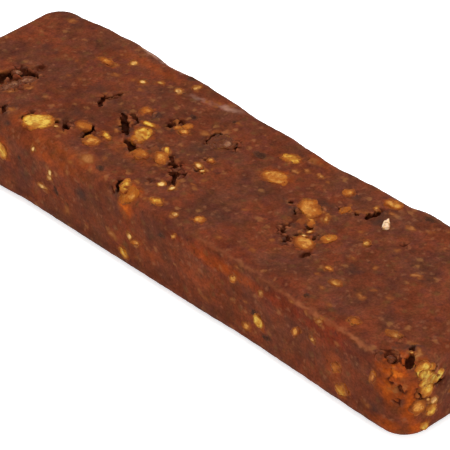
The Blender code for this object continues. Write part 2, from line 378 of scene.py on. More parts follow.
# %% [markdown]
# ## Cracks and pits
# Pressing leaves gaps where the paste bridges between nuts. On the real bar they are
# dark, ragged and deeper than they are wide. Pushing them in with a brush would stretch
# the skin, so they are cut. Each line below runs along one crack, and the crater at the
# left end and the ring at the near corner are short wide ones.

# %% Cracks on the top: (depth, (x, y, width), (x, y, width), ...)
TOP_CRACKS = (
    (1.3, (-40.9, -8.6, 1.2), (-41.1, -7.0, 1.7), (-41.0, -5.5, 1.8), (-40.7, -4.5, 1.7),
     (-39.8, -3.9, 1.7), (-38.8, -3.4, 1.6), (-37.8, -3.1, 1.2), (-37.1, -3.4, 0.8)),
    (1.1, (-38.2, -4.8, 2.4), (-38.3, -6.3, 2.6), (-38.9, -8.0, 2.2), (-39.3, -9.4, 1.4)),
    (0.4, (-38.7, -1.0, 0.35),),
    (1.0, (-34.9, -10.9, 0.4), (-34.6, -11.5, 0.5), (-34.2, -12.2, 0.45)),
    (1.0, (-30.8, -10.3, 0.35), (-30.6, -11.1, 0.5), (-30.1, -12.1, 0.45)),
    (1.2, (-25.1, 2.9, 0.4), (-25.5, 2.2, 0.5), (-26.0, 1.4, 0.55), (-26.2, 0.6, 0.5),
     (-25.9, -0.2, 0.5), (-25.6, -1.0, 0.55), (-25.3, -1.5, 0.55)),
    (1.0, (-26.4, -8.6, 0.6), (-26.1, -8.9, 0.7)),
    (1.2, (-25.3, -8.2, 0.8), (-24.4, -8.7, 0.8), (-23.7, -9.1, 0.5)),
    (1.3, (-22.1, -5.7, 0.55), (-21.6, -6.5, 0.8), (-21.2, -7.4, 0.9), (-20.9, -8.3, 0.7),
     (-20.6, -9.0, 0.4)),
    (1.5, (-21.3, -0.3, 0.35), (-20.5, -0.8, 0.6), (-20.0, -1.4, 0.9), (-19.42, -1.75, 0.95),
     (-18.5, -2.3, 0.92), (-17.7, -3.0, 0.8), (-17.0, -3.7, 0.4)),
    (1.0, (-20.2, 0.4, 0.35), (-18.9, 0.1, 0.5), (-17.9, -0.3, 0.6)),
    (1.4, (-15.9, -4.5, 0.9), (-14.9, -4.6, 1.1), (-14.1, -5.1, 1.2), (-13.4, -5.9, 0.8)),
    (1.0, (-14.5, 3.8, 0.5), (-14.3, 3.0, 0.65), (-13.8, 2.3, 0.5)),
    (0.6, (-13.9, 4.3, 0.3), (-13.2, 4.4, 0.3)),
    (0.6, (-17.4, 2.8, 0.4), (-17.2, 2.6, 0.4)),
    (1.2, (-7.0, 3.4, 0.3), (-7.4, 4.3, 0.4), (-7.9, 5.4, 0.5), (-8.1, 6.1, 0.45),
     (-7.5, 6.5, 0.3)),
    (0.7, (-4.2, 6.4, 0.35), (-3.7, 5.7, 0.5), (-3.5, 5.1, 0.35)),
    (0.8, (-4.3, 1.0, 0.35), (-4.3, 0.1, 0.35)),
    (1.4, (-8.1, -2.9, 0.3), (-7.4, -3.3, 0.35), (-6.8, -3.8, 0.8), (-6.1, -3.8, 0.9),
     (-5.7, -3.2, 0.5)),
    (0.8, (-3.7, -4.0, 0.35), (-3.8, -4.6, 0.4)),
    (1.4, (-5.3, -5.5, 0.6), (-4.6, -5.4, 0.9), (-4.1, -6.2, 0.8), (-3.5, -6.9, 0.6),
     (-3.0, -7.3, 0.35)),
    (0.7, (-2.9, -1.4, 0.3), (-3.1, -2.1, 0.35), (-3.4, -2.6, 0.35)),
    (0.6, (-6.0, -9.2, 0.4), (-5.8, -9.4, 0.4)),
    (1.3, (-9.3, -12.1, 0.5), (-8.8, -12.7, 0.75), (-8.3, -13.3, 0.7)),
    (0.7, (11.7, 2.0, 0.55), (11.5, 1.6, 0.6)),
    (1.0, (13.1, 1.0, 0.5), (13.6, 0.7, 0.5), (14.1, 0.4, 0.3)),
    (0.5, (15.7, 3.95, 0.35), (16.2, 3.85, 0.35)),
    (0.9, (14.0, 2.9, 0.45), (14.5, 2.95, 0.45)),
    (1.0, (18.0, -0.1, 0.4), (17.8, -0.6, 0.8)),
    (0.7, (17.7, -2.2, 0.35), (17.8, -2.9, 0.35)),
    (0.9, (19.9, -0.8, 0.35), (19.9, -1.4, 0.5)),
    (0.6, (15.4, -2.1, 0.5), (15.6, -2.3, 0.5)),
    (0.7, (15.1, -3.1, 0.5), (15.6, -3.6, 0.8), (15.8, -4.0, 0.4)),
    (1.0, (17.0, -4.1, 0.35), (17.9, -4.7, 0.4), (17.6, -5.4, 0.75)),
    (0.8, (22.2, -5.0, 0.7), (22.2, -5.4, 0.9)),
    (1.5, (22.1, 9.6, 0.5), (22.2, 8.8, 0.5), (21.9, 8.0, 0.7), (21.6, 7.5, 0.8)),
    (0.8, (20.1, 6.9, 0.4), (20.2, 6.4, 0.5)),
    (0.5, (17.8, 6.4, 0.3), (17.7, 5.8, 0.3)),
    (0.5, (16.7, 9.9, 0.3), (16.7, 9.4, 0.3)),
    (0.5, (6.6, 11.3, 0.4), (6.8, 10.9, 0.4)),
    (0.3, (30.4, 6.1, 0.4), (30.7, 5.9, 0.4)),
    (0.7, (44.3, -9.3, 0.35), (44.3, -9.7, 0.35)),
    (0.9, (46.7, -9.3, 0.5), (46.8, -9.8, 0.6), (46.9, -10.3, 0.5)),
    (1.3, (47.9, -10.9, 0.9), (48.2, -11.5, 1.2), (48.4, -12.0, 1.2), (48.6, -12.4, 0.8)),
    (0.8, (45.6, -12.5, 1.2), (45.2, -13.2, 1.3), (46.0, -13.7, 1.3), (46.8, -13.2, 1.2),
     (46.4, -12.6, 1.1)),
)

# %% Cracks on the sides, in the same form
NEAR_CRACKS = (
    (0.55, (47.8, 9.0, 0.9), (47.9, 8.5, 1.1), (47.9, 8.0, 0.9)),
    (0.3, (47.9, 6.6, 0.4),),
    (0.22, (46.8, 10.4, 0.4), (47.1, 10.1, 0.4)),
)
RIGHT_CRACKS = (
    (1.1, (-8.7, 10.9, 0.6), (-9.2, 10.4, 1.0), (-9.8, 10.0, 0.6)),
    (0.6, (-10.9, 7.8, 0.5), (-10.5, 7.4, 0.6), (-10.1, 6.9, 0.4)),
    (0.9, (-9.0, 8.4, 0.35), (-8.2, 8.4, 0.5), (-7.0, 8.4, 0.4)),
    (0.5, (-9.4, 5.2, 0.4), (-8.6, 4.9, 0.4)),
    (1.3, (4.1, 8.6, 0.5), (4.9, 7.6, 1.0), (5.3, 6.6, 0.7), (6.0, 6.2, 0.35)),
)
FAR_CRACKS = (
    (1.5, (-13.6, 7.9, 0.4), (-12.5, 8.4, 0.8), (-11.6, 8.6, 1.0), (-10.4, 9.3, 0.5)),
    (1.4, (31.8, 7.4, 0.5), (32.9, 7.1, 1.1), (34.0, 6.4, 0.8), (34.6, 6.3, 0.4)),
    (0.9, (3.2, 9.8, 0.4), (3.9, 9.2, 0.5), (4.2, 8.4, 0.35)),
)
LEFT_CRACKS = (
    (1.3, (3.1, 9.0, 0.5), (3.9, 8.1, 0.9), (4.6, 7.2, 0.7), (5.0, 6.4, 0.35)),
    (0.8, (-6.3, 5.1, 0.4), (-5.6, 4.7, 0.5)),
)
CRACKS = {"top": TOP_CRACKS, "near": NEAR_CRACKS, "right": RIGHT_CRACKS,
          "far": FAR_CRACKS, "left": LEFT_CRACKS}
cracks = [(face, depth, line) for face, rows in CRACKS.items() for depth, *line in rows]
print("cracks:", len(cracks))

# %% [markdown]
# ## Stones that cut the cracks
# One smooth wedge for each crack would leave smooth walls, and real ones are broken. So
# a chain of small rough stones lies along each line, half a width apart, each turned
# and leaned a little, with a smaller one beside it here and there.

# %% Stones along a crack
THINNEST = 0.45
STONE_SHIFT = 0.15
SIDE_STONE_CHANCE = 0.35

# Noise on a stone: (size, spread).
STONE_ROUGHNESS = ((0.65, 0.4), (0.35, 0.2))


def stones_along(face, line, rng):
    """List places, widths and angles along a crack's line, half a width apart, unevenly."""
    mirrored = -1 if face in ("far", "left") else 1
    stones = []
    for start, end in zip(line, line[1:] or line):
        angle = math.atan2(end[1] - start[1], mirrored * (end[0] - start[0]))
        count = max(1, round(math.dist(start[:2], end[:2]) / (0.25 * (start[2] + end[2]))))
        for i in range(count + 1):
            along, across, width = (a + (b - a) * i / count for a, b in zip(start, end))
            shift = STONE_SHIFT * width
            stones.append((along + rng.uniform(-shift, shift), across + rng.uniform(-shift, shift),
                           width * rng.uniform(0.75, 1.2), angle + rng.uniform(-0.35, 0.35)))
            if rng.random() < SIDE_STONE_CHANCE:
                aside = rng.uniform(0, 2 * math.pi)
                reach = 0.45 * width + 0.1
                stones.append((along + reach * math.cos(aside), across + reach * math.sin(aside),
                               0.5 * width, aside))
    return stones


def add_stone(place, width, depth, angle, rng):
    """Add one rough stone, longer than wide, that reaches down to the crack's depth."""
    width = max(width, THINNEST)
    bpy.ops.mesh.primitive_ico_sphere_add(subdivisions=3, radius=0.5)
    stone = bpy.context.object
    points = points_of(stone)
    shift = rng.uniform(0, 90)
    rough = sum(size * noise_at(points, spread, shift) for size, spread in STONE_ROUGHNESS)
    points *= (1.0 + rough * min(1.0, 0.9 / width))[:, None]
    points *= (width + 0.5, width * rng.uniform(0.8, 1.1), 2 * depth * rng.uniform(0.8, 1.1))
    set_points(stone, points)
    lean_x = Matrix.Rotation(rng.uniform(-0.3, 0.3), 4, "X")
    lean_y = Matrix.Rotation(rng.uniform(-0.3, 0.3), 4, "Y")
    stone.data.transform(place @ Matrix.Rotation(angle, 4, "Z") @ lean_x @ lean_y)
    return stone


# %% Lay the stones and cut them out of the block
block_surface = surface_of(block)
cutters = bpy.data.collections.new("cutters")
bpy.context.scene.collection.children.link(cutters)
rng = random.Random(4)
crack_places = []
for face, depth, line in cracks:
    for along, across, width, angle in stones_along(face, line, rng):
        crack_places.append((settle(bare_surface, face, along, across).translation, width))
        taper = min(1.0, 0.45 + 0.55 * width / max(step[2] for step in line))
        place = settle(block_surface, face, along, across)
        stone = add_stone(place, width, depth * taper, angle, rng)
        for owner in list(stone.users_collection):
            owner.objects.unlink(stone)
        cutters.objects.link(stone)

cut = block.modifiers.new("Cracks", "BOOLEAN")
cut.operation = "DIFFERENCE"
cut.operand_type = "COLLECTION"
cut.collection = cutters
cut.solver = "MANIFOLD"
apply_modifiers(block)
for stone in list(cutters.objects):
    bpy.data.objects.remove(stone, do_unlink=True)
bpy.data.collections.remove(cutters)
print("cracks cut:", len(cracks), "->", len(block.data.polygons), "faces")

# %% [markdown]
# ## An even skin
# The cut block has long thin faces, and subdividing them would keep them long and thin.
# Sculpting needs small even faces, inside the pits too, and a voxel Remesh gives them.
# The underside is flat and shows least, so its faces are thinned out afterwards.

# %% Remesh
SKIN_VOXEL = 0.2
UNDERSIDE = 0.05
UNDERSIDE_SHARE = 0.05

paste = block
paste.name = "paste"
remesh(paste, SKIN_VOXEL)
for item in (*paste.data.vertices, *paste.data.edges):
    item.select = False
for face in paste.data.polygons:
    face.select = all(paste.data.vertices[i].co.z < UNDERSIDE for i in face.vertices)
edit(paste, "FACE", lambda: bpy.ops.mesh.decimate(ratio=UNDERSIDE_SHARE))
shape_skin(paste)
print("even skin:", len(paste.data.polygons), "faces")

# %% [markdown]
# ## Nuts: where they are
# The nuts are chopped, and three colours show. Yellow ones are clean kernels, amber
# ones are soaked by the date syrup, and cream ones are chips of blanched nut. They
# could be scattered by chance, but the ones that show have places of their own, so each
# is a row: a face, two distances along it, a length, a width and a turn in degrees.
# Some have one more number: above 0 that nut is cleaner, below 0 it is more soaked.

# %% Yellow nuts
YELLOW = (
    ("top", -28.2, -10.8, 4.5, 3.5, 28, 0.2), ("top", -15.3, -1.9, 3.5, 2.7, -55),
    ("top", -18.8, -6.0, 2.3, 1.1, -20, -0.1), ("top", -9.8, -2.2, 1.8, 0.8, -35),
    ("top", 4.1, 9.5, 3.3, 1.9, 10), ("top", 21.5, -0.4, 2.1, 1.5, 75, -0.1),
    ("top", -1.6, -11.8, 2.1, 1.4, 0, -0.1), ("top", -7.7, -12.3, 2.6, 1.5, -55, 0.1),
    ("top", -16.4, 0.5, 2.4, 1.0, 15),
    ("near", -32.6, 8.0, 2.8, 2.1, -60, 0.1), ("near", -6.4, 2.9, 2.1, 1.3, -35),
    ("near", 21.0, 5.5, 2.2, 1.9, -20, 0.12), ("near", 37.9, 3.3, 2.6, 1.9, 50, 0.05),
    ("right", -10.8, 11.9, 2.4, 2.0, 80, 0.35), ("right", -10.2, 10.9, 2.2, 1.5, -35, 0.35),
    ("right", -9.5, 11.8, 1.8, 1.1, -30, 0.1), ("right", -7.9, 9.5, 2.2, 1.5, 30, 0.3),
    ("right", -9.6, 9.6, 2.8, 1.7, 0, 0.3), ("right", -8.6, 9.3, 1.8, 1.3, 20, 0.3),
    ("right", -9.8, 8.1, 2.5, 2.0, -60, 0.1), ("right", -9.0, 4.1, 2.0, 1.8, -50, 0.1),
    ("right", -10.15, 2.0, 1.6, 1.2, -45, 0.35),
)

# %% Amber nuts
AMBER = (
    ("top", -19.1, -8.5, 2.4, 2.1, 60, 0.05), ("top", -15.1, -3.2, 2.2, 1.8, -40, 0.1),
    ("top", -11.7, -5.6, 2.5, 2.1, 0, -0.2), ("top", -9.1, -4.0, 3.0, 2.0, -35, -0.18),
    ("top", 5.9, 4.5, 4.3, 2.7, 10, 0.15), ("top", 14.7, 2.6, 4.0, 2.8, -30, 0.1),
    ("top", 16.9, 0.7, 2.4, 1.2, -30, -0.1), ("top", 19.8, -3.6, 3.5, 2.5, -20, -0.1),
    ("top", -33.0, 7.1, 3.0, 1.3, 5, -0.15), ("top", -19.3, 2.6, 1.9, 1.6, 30, -0.1),
    ("top", -23.0, -6.7, 2.5, 1.9, 0, -0.2), ("top", -6.2, -13.1, 3.2, 2.4, 25, -0.1),
    ("top", 18.4, 6.2, 1.7, 1.1, 85, -0.2),
    ("top", 15.7, 9.5, 1.6, 1.5, 20, -0.1), ("top", -3.5, 0.6, 1.3, 0.9, 0),
    ("top", -20.4, -8.0, 1.2, 0.5, 80), ("top", 22.3, 12.0, 2.8, 1.7, 0, 0.2),
    ("top", 5.8, -10.5, 1.8, 1.6, 0, 0.05), ("top", 26.6, -5.5, 1.5, 0.9, 0),
    ("top", 37.3, -11.2, 1.9, 1.3, -20, -0.15),
    ("near", 36.6, 6.6, 2.0, 1.3, 30, -0.1), ("near", 18.5, 3.2, 1.7, 1.3, 20),
    ("near", -4.1, 6.0, 2.2, 0.8, 20), ("near", 3.9, 11.4, 1.5, 0.8, 50),
    ("near", 15.9, 10.3, 1.9, 1.2, 50, 0.05), ("near", 28.5, 8.1, 2.2, 1.1, 60, -0.1),
    ("near", 43.7, 9.1, 2.2, 0.9, 72, -0.28), ("right", -11.2, 5.7, 2.2, 2.0, -70, 0.15),
    ("top", -12.2, 4.3, 1.5, 1.1, 80), ("top", -11.6, 2.9, 1.6, 1.2, 20),
    ("top", -13.0, 3.0, 1.2, 0.9, 50),
)

# %% Cream chips
CREAM = (
    ("top", -32.0, 7.3, 1.2, 0.7, 20), ("top", -30.0, 9.8, 1.4, 1.2, 80),
    ("top", -25.3, 7.3, 1.3, 1.1, 0), ("top", -19.65, 9.4, 1.9, 1.1, -35, 0.1),
    ("top", -18.4, 12.0, 1.7, 1.0, 85), ("top", -3.85, -1.5, 1.7, 1.0, -20),
    ("top", -2.4, -2.1, 0.9, 0.7, 60), ("top", -4.3, -8.4, 1.6, 1.1, 25, 0.1),
    ("top", -2.4, -8.1, 1.3, 0.9, 80), ("top", 2.5, -12.2, 1.2, 1.0, 0),
    ("top", 29.5, -7.0, 1.9, 1.3, 10, -0.15), ("top", -25.7, -9.9, 1.5, 0.7, 20, -0.1),
    ("top", 26.1, 2.5, 1.3, 1.1, -20, -0.1),
    ("top", 18.6, -2.4, 1.1, 0.6, 30, -0.2), ("top", 18.5, -1.1, 1.2, 0.7, 70, -0.25),
    ("top", 16.1, 3.3, 1.0, 0.6, 10, -0.2), ("top", 12.8, 3.7, 1.0, 0.5, 60, -0.2),
    ("top", 18.0, 2.7, 1.9, 0.8, -53, -0.25),
    ("top", 47.4, -10.6, 0.9, 0.6, 0, -0.2), ("top", 10.3, 9.4, 0.8, 0.7, 0),
    ("top", 21.0, 9.7, 0.8, 0.6, 40), ("top", -23.2, 9.0, 1.4, 0.8, 20, -0.25),
    ("top", 43.0, -9.5, 2.3, 1.2, 15, -0.15),
    ("near", -22.4, 8.1, 1.2, 1.0, 20), ("near", -22.1, 9.1, 1.4, 0.9, 75),
    ("near", -23.9, 5.7, 2.2, 0.9, 0), ("near", -5.3, 6.5, 1.2, 1.0, -50),
    ("near", 21.6, 10.8, 1.2, 0.8, 60), ("near", 31.9, 8.7, 1.1, 0.8, 30, -0.1),
    ("near", -25.8, 11.5, 1.1, 0.7, 60), ("near", 33.2, 12.6, 1.5, 0.7, 35),
    ("right", -8.5, 5.6, 1.6, 1.1, -45, 0.3), ("right", -9.6, 6.2, 0.9, 0.6, -40),
)

# %% Two pale flakes that stand up
FLAKES = (("top", 25.0, 7.6, 1.9, 1.0, -60, 0.6), ("top", 25.3, 7.1, 1.1, 1.0, 0, 0.6))

# %% [markdown]
# ## Nuts: out of sight
# The far side, the ends and the underside carry the same kinds. Nobody can say where
# each nut lies there, so a seeded rule spreads them and keeps them apart.

# %% Spread rule
def spread(seed, face, count, gap, along_0, along_1, across_0, across_1, longest):
    """Spread rows over a rectangle of a face, never closer than a gap."""
    rng = random.Random(seed)
    rows = []
    while len(rows) < count:
        along = rng.uniform(along_0, along_1)
        across = rng.uniform(across_0, across_1)
        if all(math.hypot(along - row[1], across - row[2]) > gap for row in rows):
            length = longest * rng.uniform(0.35, 1.0) ** 1.3
            rows.append((face, along, across, length, length * rng.uniform(0.5, 0.85),
                         rng.uniform(-80, 80)))
    return rows


hidden = (
    spread(45, "far", 30, 3.4, -45, 45, 2.4, 11.4, 3.4)
    + spread(46, "left", 9, 3.0, -10, 10, 2.6, 11.2, 2.6)
    + spread(47, "right", 8, 3.0, -5.5, 10, 2.6, 11.2, 2.6)
    + spread(48, "under", 46, 4.6, -46, 46, -11, 11, 3.6)
)
nuts = {
    "yellow": YELLOW + tuple(hidden[0::3]),
    "amber": AMBER + tuple(hidden[1::3]),
    "cream": CREAM + tuple(hidden[2::3]),
}
print("nuts:", {name: len(rows) for name, rows in nuts.items()})

# %% [markdown]
# ## Nuts: the chunks
# A chopped nut has a few flat broken faces and softened edges. Noise on a ball would
# look like a pebble, so the ball is cut by random planes in edit mode, remeshed to even
# faces, and smoothed a little. Six different chunks are enough, because each copy is
# turned, stretched and pressed in differently.

# %% Chunks
CHUNK_KINDS = 6
CHUNK_CUTS = 7
CHUNK_VOXEL = 0.055


def new_chunk(seed):
    """Chop a ball into one broken chunk, one unit across."""
    rng = random.Random(seed)
    bpy.ops.object.select_all(action="DESELECT")
    bpy.ops.mesh.primitive_ico_sphere_add(subdivisions=3, radius=0.5)
    chunk = bpy.context.object
    planes = []
    for _ in range(CHUNK_CUTS):
        normal = Vector([rng.gauss(0, 1) for _ in range(3)]).normalized()
        planes.append((normal * rng.uniform(0.33, 0.46), normal))

    def chop():
        for place, normal in planes:
            bpy.ops.mesh.select_all(action="SELECT")
            bpy.ops.mesh.bisect(plane_co=place, plane_no=normal, use_fill=True, clear_outer=True)

    edit(chunk, "VERT", chop)
    remesh(chunk, CHUNK_VOXEL)
    smooth = chunk.modifiers.new("Worn edges", "SMOOTH")
    smooth.factor = 0.5
    smooth.iterations = 2
    apply_modifiers(chunk)
    chunk.name = f"chunk_{seed}"
    return chunk


chunks = [new_chunk(seed) for seed in range(CHUNK_KINDS)]
print("chunks:", [len(chunk.data.polygons) for chunk in chunks])

# %% [markdown]
# ## Nuts: pressed in
# The nuts could be colour alone, but their edges catch the light. So each chunk is laid
# on the bare skin, sunk to its middle, and what stands up is pressed nearly flush, as
# the bar's mould does. Two numbers go with every point for the colours: how far inside
# the chunk's outline it lies, because syrup soaks in from there, and a tone.

# %% How a chunk is pressed in
PROUD = {"yellow": 0.11, "amber": 0.09, "cream": 0.08, "flake": 0.7, "lump": 0.4, "fleck": 0.04}
COVERED = 1.14
SOAKED_RIM = 0.6

# Noise on a chunk, as rows of waves: (size, spread, shift for each chunk's number).
CHUNK_LUMPS = ((0.34, 0.9, 5.1), (0.12, 0.4, 2.3))
CHUNK_RELIEF = ((0.9, 0.8, 1.9), (0.4, 0.35, 4.3))
CHUNK_TONES = ((0.6, 1.5, 9.7),)


def press_in(kind, index, row, sink=0.0, flatness=0.9, rough=1.0):
    """Copy a chunk, give it its row's size and place, and press its top flush."""
    face, along, across, length, width, turn, *cleaner = row
    length, width = COVERED * length, COVERED * width
    cleaner = sum(cleaner)
    rng = random.Random(f"{kind} {index}")
    only(chunks[rng.randrange(CHUNK_KINDS)])
    bpy.ops.object.duplicate()
    nut = bpy.context.object
    axis = Vector([rng.gauss(0, 1) for _ in range(3)]).normalized()
    spin = np.array(Matrix.Rotation(rng.uniform(0, 2 * math.pi), 3, axis))
    points = points_of(nut) @ spin
    points -= (points.max(0) + points.min(0)) / 2
    points *= np.array((length, width, flatness * width)) / (points.max(0) - points.min(0))
    lumpy = rough * waves(points, CHUNK_LUMPS, index) * min(1.0, 0.3 + 0.35 * width)
    points += normals_of(nut) @ spin * lumpy[:, None]
    raw = points[:, 2]
    inside = (1 - np.hypot(points[:, 0] / length, points[:, 1] / width) * 2) * width / 2
    inside = inside / min(SOAKED_RIM, 0.32 * width) + 0.9 * cleaner
    tone = 0.5 + waves(points, CHUNK_TONES, index) + rng.uniform(-0.08, 0.08) + cleaner
    mark(nut, "inside", np.clip(inside, 0, 1))
    mark(nut, "tone", tone)
    top = PROUD[kind] * rng.uniform(0.7, 1.3) * min(1.0, 0.4 + 0.4 * width)
    tilt = 1.0 + points[:, 0] / length * rng.uniform(-0.5, 0.5)
    relief = 1.0 + rough * waves(points, CHUNK_RELIEF, index)
    points[:, 2] = np.where(raw > 0, top * tilt * relief * np.tanh(raw / top * 0.8), raw) - sink
    set_points(nut, points)
    nut.data.transform(settle(bare_surface, face, along, across)
                       @ Matrix.Rotation(math.radians(turn), 4, "Z"))
    return nut


# %% Press the nuts in, and stand the flakes up
pieces = {}
for kind, rows in nuts.items():
    pressed = [press_in(kind, index, row) for index, row in enumerate(rows)]
    pieces[kind] = join(pressed, f"nuts_{kind}")
    print(kind, "nuts:", len(pieces[kind].data.polygons), "faces")
flakes = [press_in("flake", index, row, sink=-0.1) for index, row in enumerate(FLAKES)]
pieces["flakes"] = join(flakes, "pale_flakes")

# %% [markdown]
# ## Date lumps and dark flecks
# Not everything in the paste is ground fine. Shiny lumps of whole date stand in the
# crater at the left end, beside a crack and in the ring at the near corner, and flecks
# of fruit skin and cocoa shell lie flat. They could be sculpted from scratch, but they
# broke like the nuts did. So they are the same chunks, taller or flatter.

# %% Lumps: (a row, how far it is sunk below the skin)
LUMPS = (
    (("top", -37.5, -4.8, 2.7, 1.9, 45, -0.1), 0.40),
    (("top", -38.4, -7.4, 3.9, 2.1, 84), 0.45),
    (("top", -37.4, -6.2, 1.8, 1.4, 20, -0.3), 0.45),
    (("top", -40.6, -4.3, 1.5, 0.9, 45, 0.3), 0.45),
    (("top", -5.8, 5.0, 3.8, 3.4, 20, -0.3), 0.26),
    (("top", 46.0, -13.0, 1.2, 1.0, 0, -0.3), 0.60),
)

# %% Dark flecks
FLECKS = (
    ("top", 0.2, 6.9, 1.9, 1.3, 10), ("top", -13.2, 6.4, 0.9, 0.8, 0),
    ("top", -13.3, -12.0, 1.1, 0.7, -30), ("top", -20.7, 13.2, 1.5, 0.9, 0),
    ("top", 28.4, 13.0, 1.4, 0.9, 20), ("top", -8.3, 9.9, 0.7, 0.5, 90),
    ("top", 28.75, -12.0, 0.8, 0.5, 0), ("top", -4.0, 5.9, 0.8, 0.5, 30),
    ("near", 1.4, 10.1, 1.3, 0.6, 20), ("near", 22.6, 3.5, 1.6, 0.7, 10),
    ("near", 20.0, 6.7, 1.4, 0.8, 35), ("near", -21.1, 6.2, 1.4, 0.4, -60),
    ("near", -29.0, 8.3, 0.8, 0.5, 80), ("right", -9.7, 8.0, 0.9, 0.7, 0),
    ("far", -30.0, 7.0, 1.6, 0.9, 20), ("far", 8.0, 5.0, 1.4, 0.8, -30),
    ("left", -5.0, 6.0, 1.5, 0.9, 10), ("right", 2.0, 5.0, 1.3, 0.8, 40),
    ("under", -22.0, 4.0, 1.8, 1.0, 15), ("under", 18.0, -5.0, 1.6, 1.0, -40),
)

# %% Press the lumps and flecks in
lumps = [press_in("lump", index, row, sink=sink, rough=0.9)
         for index, (row, sink) in enumerate(LUMPS)]
pieces["lumps"] = join(lumps, "date_lumps")
flecks = [press_in("fleck", index, row, flatness=0.5) for index, row in enumerate(FLECKS)]
pieces["flecks"] = join(flecks, "dark_flecks")
for chunk in chunks:
    bpy.data.objects.remove(chunk, do_unlink=True)
print("lumps and flecks:", len(lumps), "and", len(flecks))

# %% [markdown]
# ## Under the surface
# The paste is a little clear, so much of what shows lies just under the skin: soft
# amber spots over sunk nuts, dark clouds, and an orange glow where the paste is thin.
# Real nuts under a clear skin would render slowly and with grain, so each is painted on
# the skin's points as a ragged ellipse: a row like a nut's, and a strength.

# %% Sunk nuts: (face, along, across, length, width, turn, strength)
SUNK = (
    ("top", -44.9, 10.8, 2.0, 1.2, 10, 0.7), ("top", -27.0, 6.8, 1.5, 1.0, 0, 0.6),
    ("top", -24.0, 5.7, 1.3, 0.9, 0, 0.6), ("top", -29.4, 5.7, 1.6, 1.1, 30, 0.6),
    ("top", -36.4, 3.9, 1.4, 1.1, 0, 0.5), ("top", -34.3, 0.5, 1.3, 1.0, 0, 0.5),
    ("top", -32.5, 1.1, 1.1, 0.9, 0, 0.5), ("top", -23.6, -10.2, 2.2, 1.5, 0, 0.6),
    ("top", -9.3, 5.0, 2.5, 1.5, 0, 0.6), ("top", -7.5, 10.0, 1.4, 1.0, 0, 0.7),
    ("top", 7.8, 8.9, 1.5, 1.1, 0, 0.8), ("top", 8.0, 11.6, 1.3, 0.9, 0, 0.7),
    ("top", 10.2, 9.4, 1.1, 0.9, 0, 0.6), ("top", 12.0, 9.0, 1.2, 0.9, 0, 0.6),
    ("top", -14.5, -10.2, 1.6, 1.2, 0, 0.5), ("top", -15.0, 10.7, 1.3, 0.8, 0, 0.7),
    ("top", -13.0, 10.7, 1.1, 0.8, 0, 0.6), ("top", 18.0, 7.5, 1.2, 1.0, 0, 0.6),
    ("top", 21.0, 9.8, 1.1, 0.8, 0, 0.7), ("top", 23.6, 10.2, 1.3, 0.9, 0, 0.8),
    ("top", 23.6, 4.0, 1.3, 1.0, 0, 0.6), ("top", 30.1, 4.5, 1.4, 1.0, 0, 0.6),
    ("top", 30.6, 11.0, 1.3, 1.0, 0, 0.6), ("top", 30.9, -0.5, 1.3, 1.0, 0, 0.7),
    ("top", 29.0, -9.3, 1.4, 1.0, 0, 0.7), ("top", 26.5, -7.4, 1.2, 0.9, 0, 0.7),
    ("top", 34.3, -4.5, 1.3, 0.9, 0, 0.6), ("top", 36.8, -3.9, 1.4, 1.0, 0, 0.6),
    ("top", 32.4, -11.1, 1.6, 1.1, 0, 0.6), ("top", 16.1, -10.1, 1.4, 1.0, 0, 0.6),
    ("top", 10.9, -11.4, 1.5, 1.0, 0, 0.6), ("top", -7.5, -10.5, 1.4, 1.0, 0, 0.7),
    ("top", -3.3, -12.4, 1.5, 1.0, 0, 0.6), ("top", 17.6, 3.4, 1.3, 1.0, 0, 0.7),
    ("top", 18.3, 2.0, 1.1, 0.9, 0, 0.7), ("top", -0.8, -3.6, 1.1, 0.9, 0, 0.6),
    ("top", -1.0, -5.2, 1.0, 0.8, 0, 0.6), ("top", 0.0, -5.8, 1.1, 0.7, 0, 0.6),
    ("top", 8.6, -4.1, 1.8, 0.5, 40, 0.6), ("top", -18.9, -3.9, 1.4, 1.0, 0, 0.8),
    ("top", -8.0, -5.5, 1.6, 1.2, 0, 0.7), ("top", 6.9, 7.6, 1.4, 1.2, 0, 0.8),
    ("top", 16.1, -6.4, 1.4, 1.0, 0, 0.6), ("top", -16.2, -11.8, 3.0, 2.2, 0, 0.8),
    ("top", -1.8, -0.7, 1.2, 0.9, 0, 0.6), ("top", -13.4, 11.5, 1.8, 1.0, 0, 0.6),
    ("near", -18.9, 3.9, 2.0, 1.4, 0, 0.6), ("near", 10.2, 3.9, 2.0, 1.4, 0, 0.6),
    ("near", 42.6, 3.75, 1.8, 1.2, 0, 0.6), ("near", 16.8, 12.6, 1.5, 0.8, 0, 0.7),
    ("near", 27.6, 12.8, 1.3, 0.7, 0, 0.8), ("near", 30.6, 12.6, 1.2, 0.7, 0, 0.7),
    ("near", -8.8, 4.9, 2.2, 1.7, 0, 0.8), ("near", 18.3, 7.4, 1.2, 0.9, 0, 0.7),
    ("near", -3.9, 3.5, 1.0, 0.8, 0, 0.5), ("near", -18.4, 12.6, 1.5, 0.8, 0, 0.6),
    ("near", 7.7, 10.5, 1.0, 0.8, 0, 0.6), ("near", 6.5, 7.0, 1.1, 0.8, 0, 0.5),
    ("near", -26.8, 1.9, 1.2, 0.9, 0, 0.6), ("right", -10.5, 12.6, 1.6, 1.0, 0, 0.8),
    ("top", 48.4, -10.2, 3.0, 1.3, -60, 0.85), ("top", 27.0, -1.3, 1.7, 1.2, 0, 0.6),
    ("top", 33.9, -6.7, 1.8, 1.4, 0, 0.9), ("top", 36.4, 2.1, 1.9, 1.2, 0, 0.9),
    ("top", 28.0, 9.6, 1.8, 1.1, 0, 0.9), ("top", -35.7, -5.9, 1.9, 1.1, 45, 0.85),
    ("top", -37.2, -8.3, 2.6, 1.2, 45, 0.8), ("top", -33.5, -11.5, 1.9, 1.4, 0, 0.7),
)

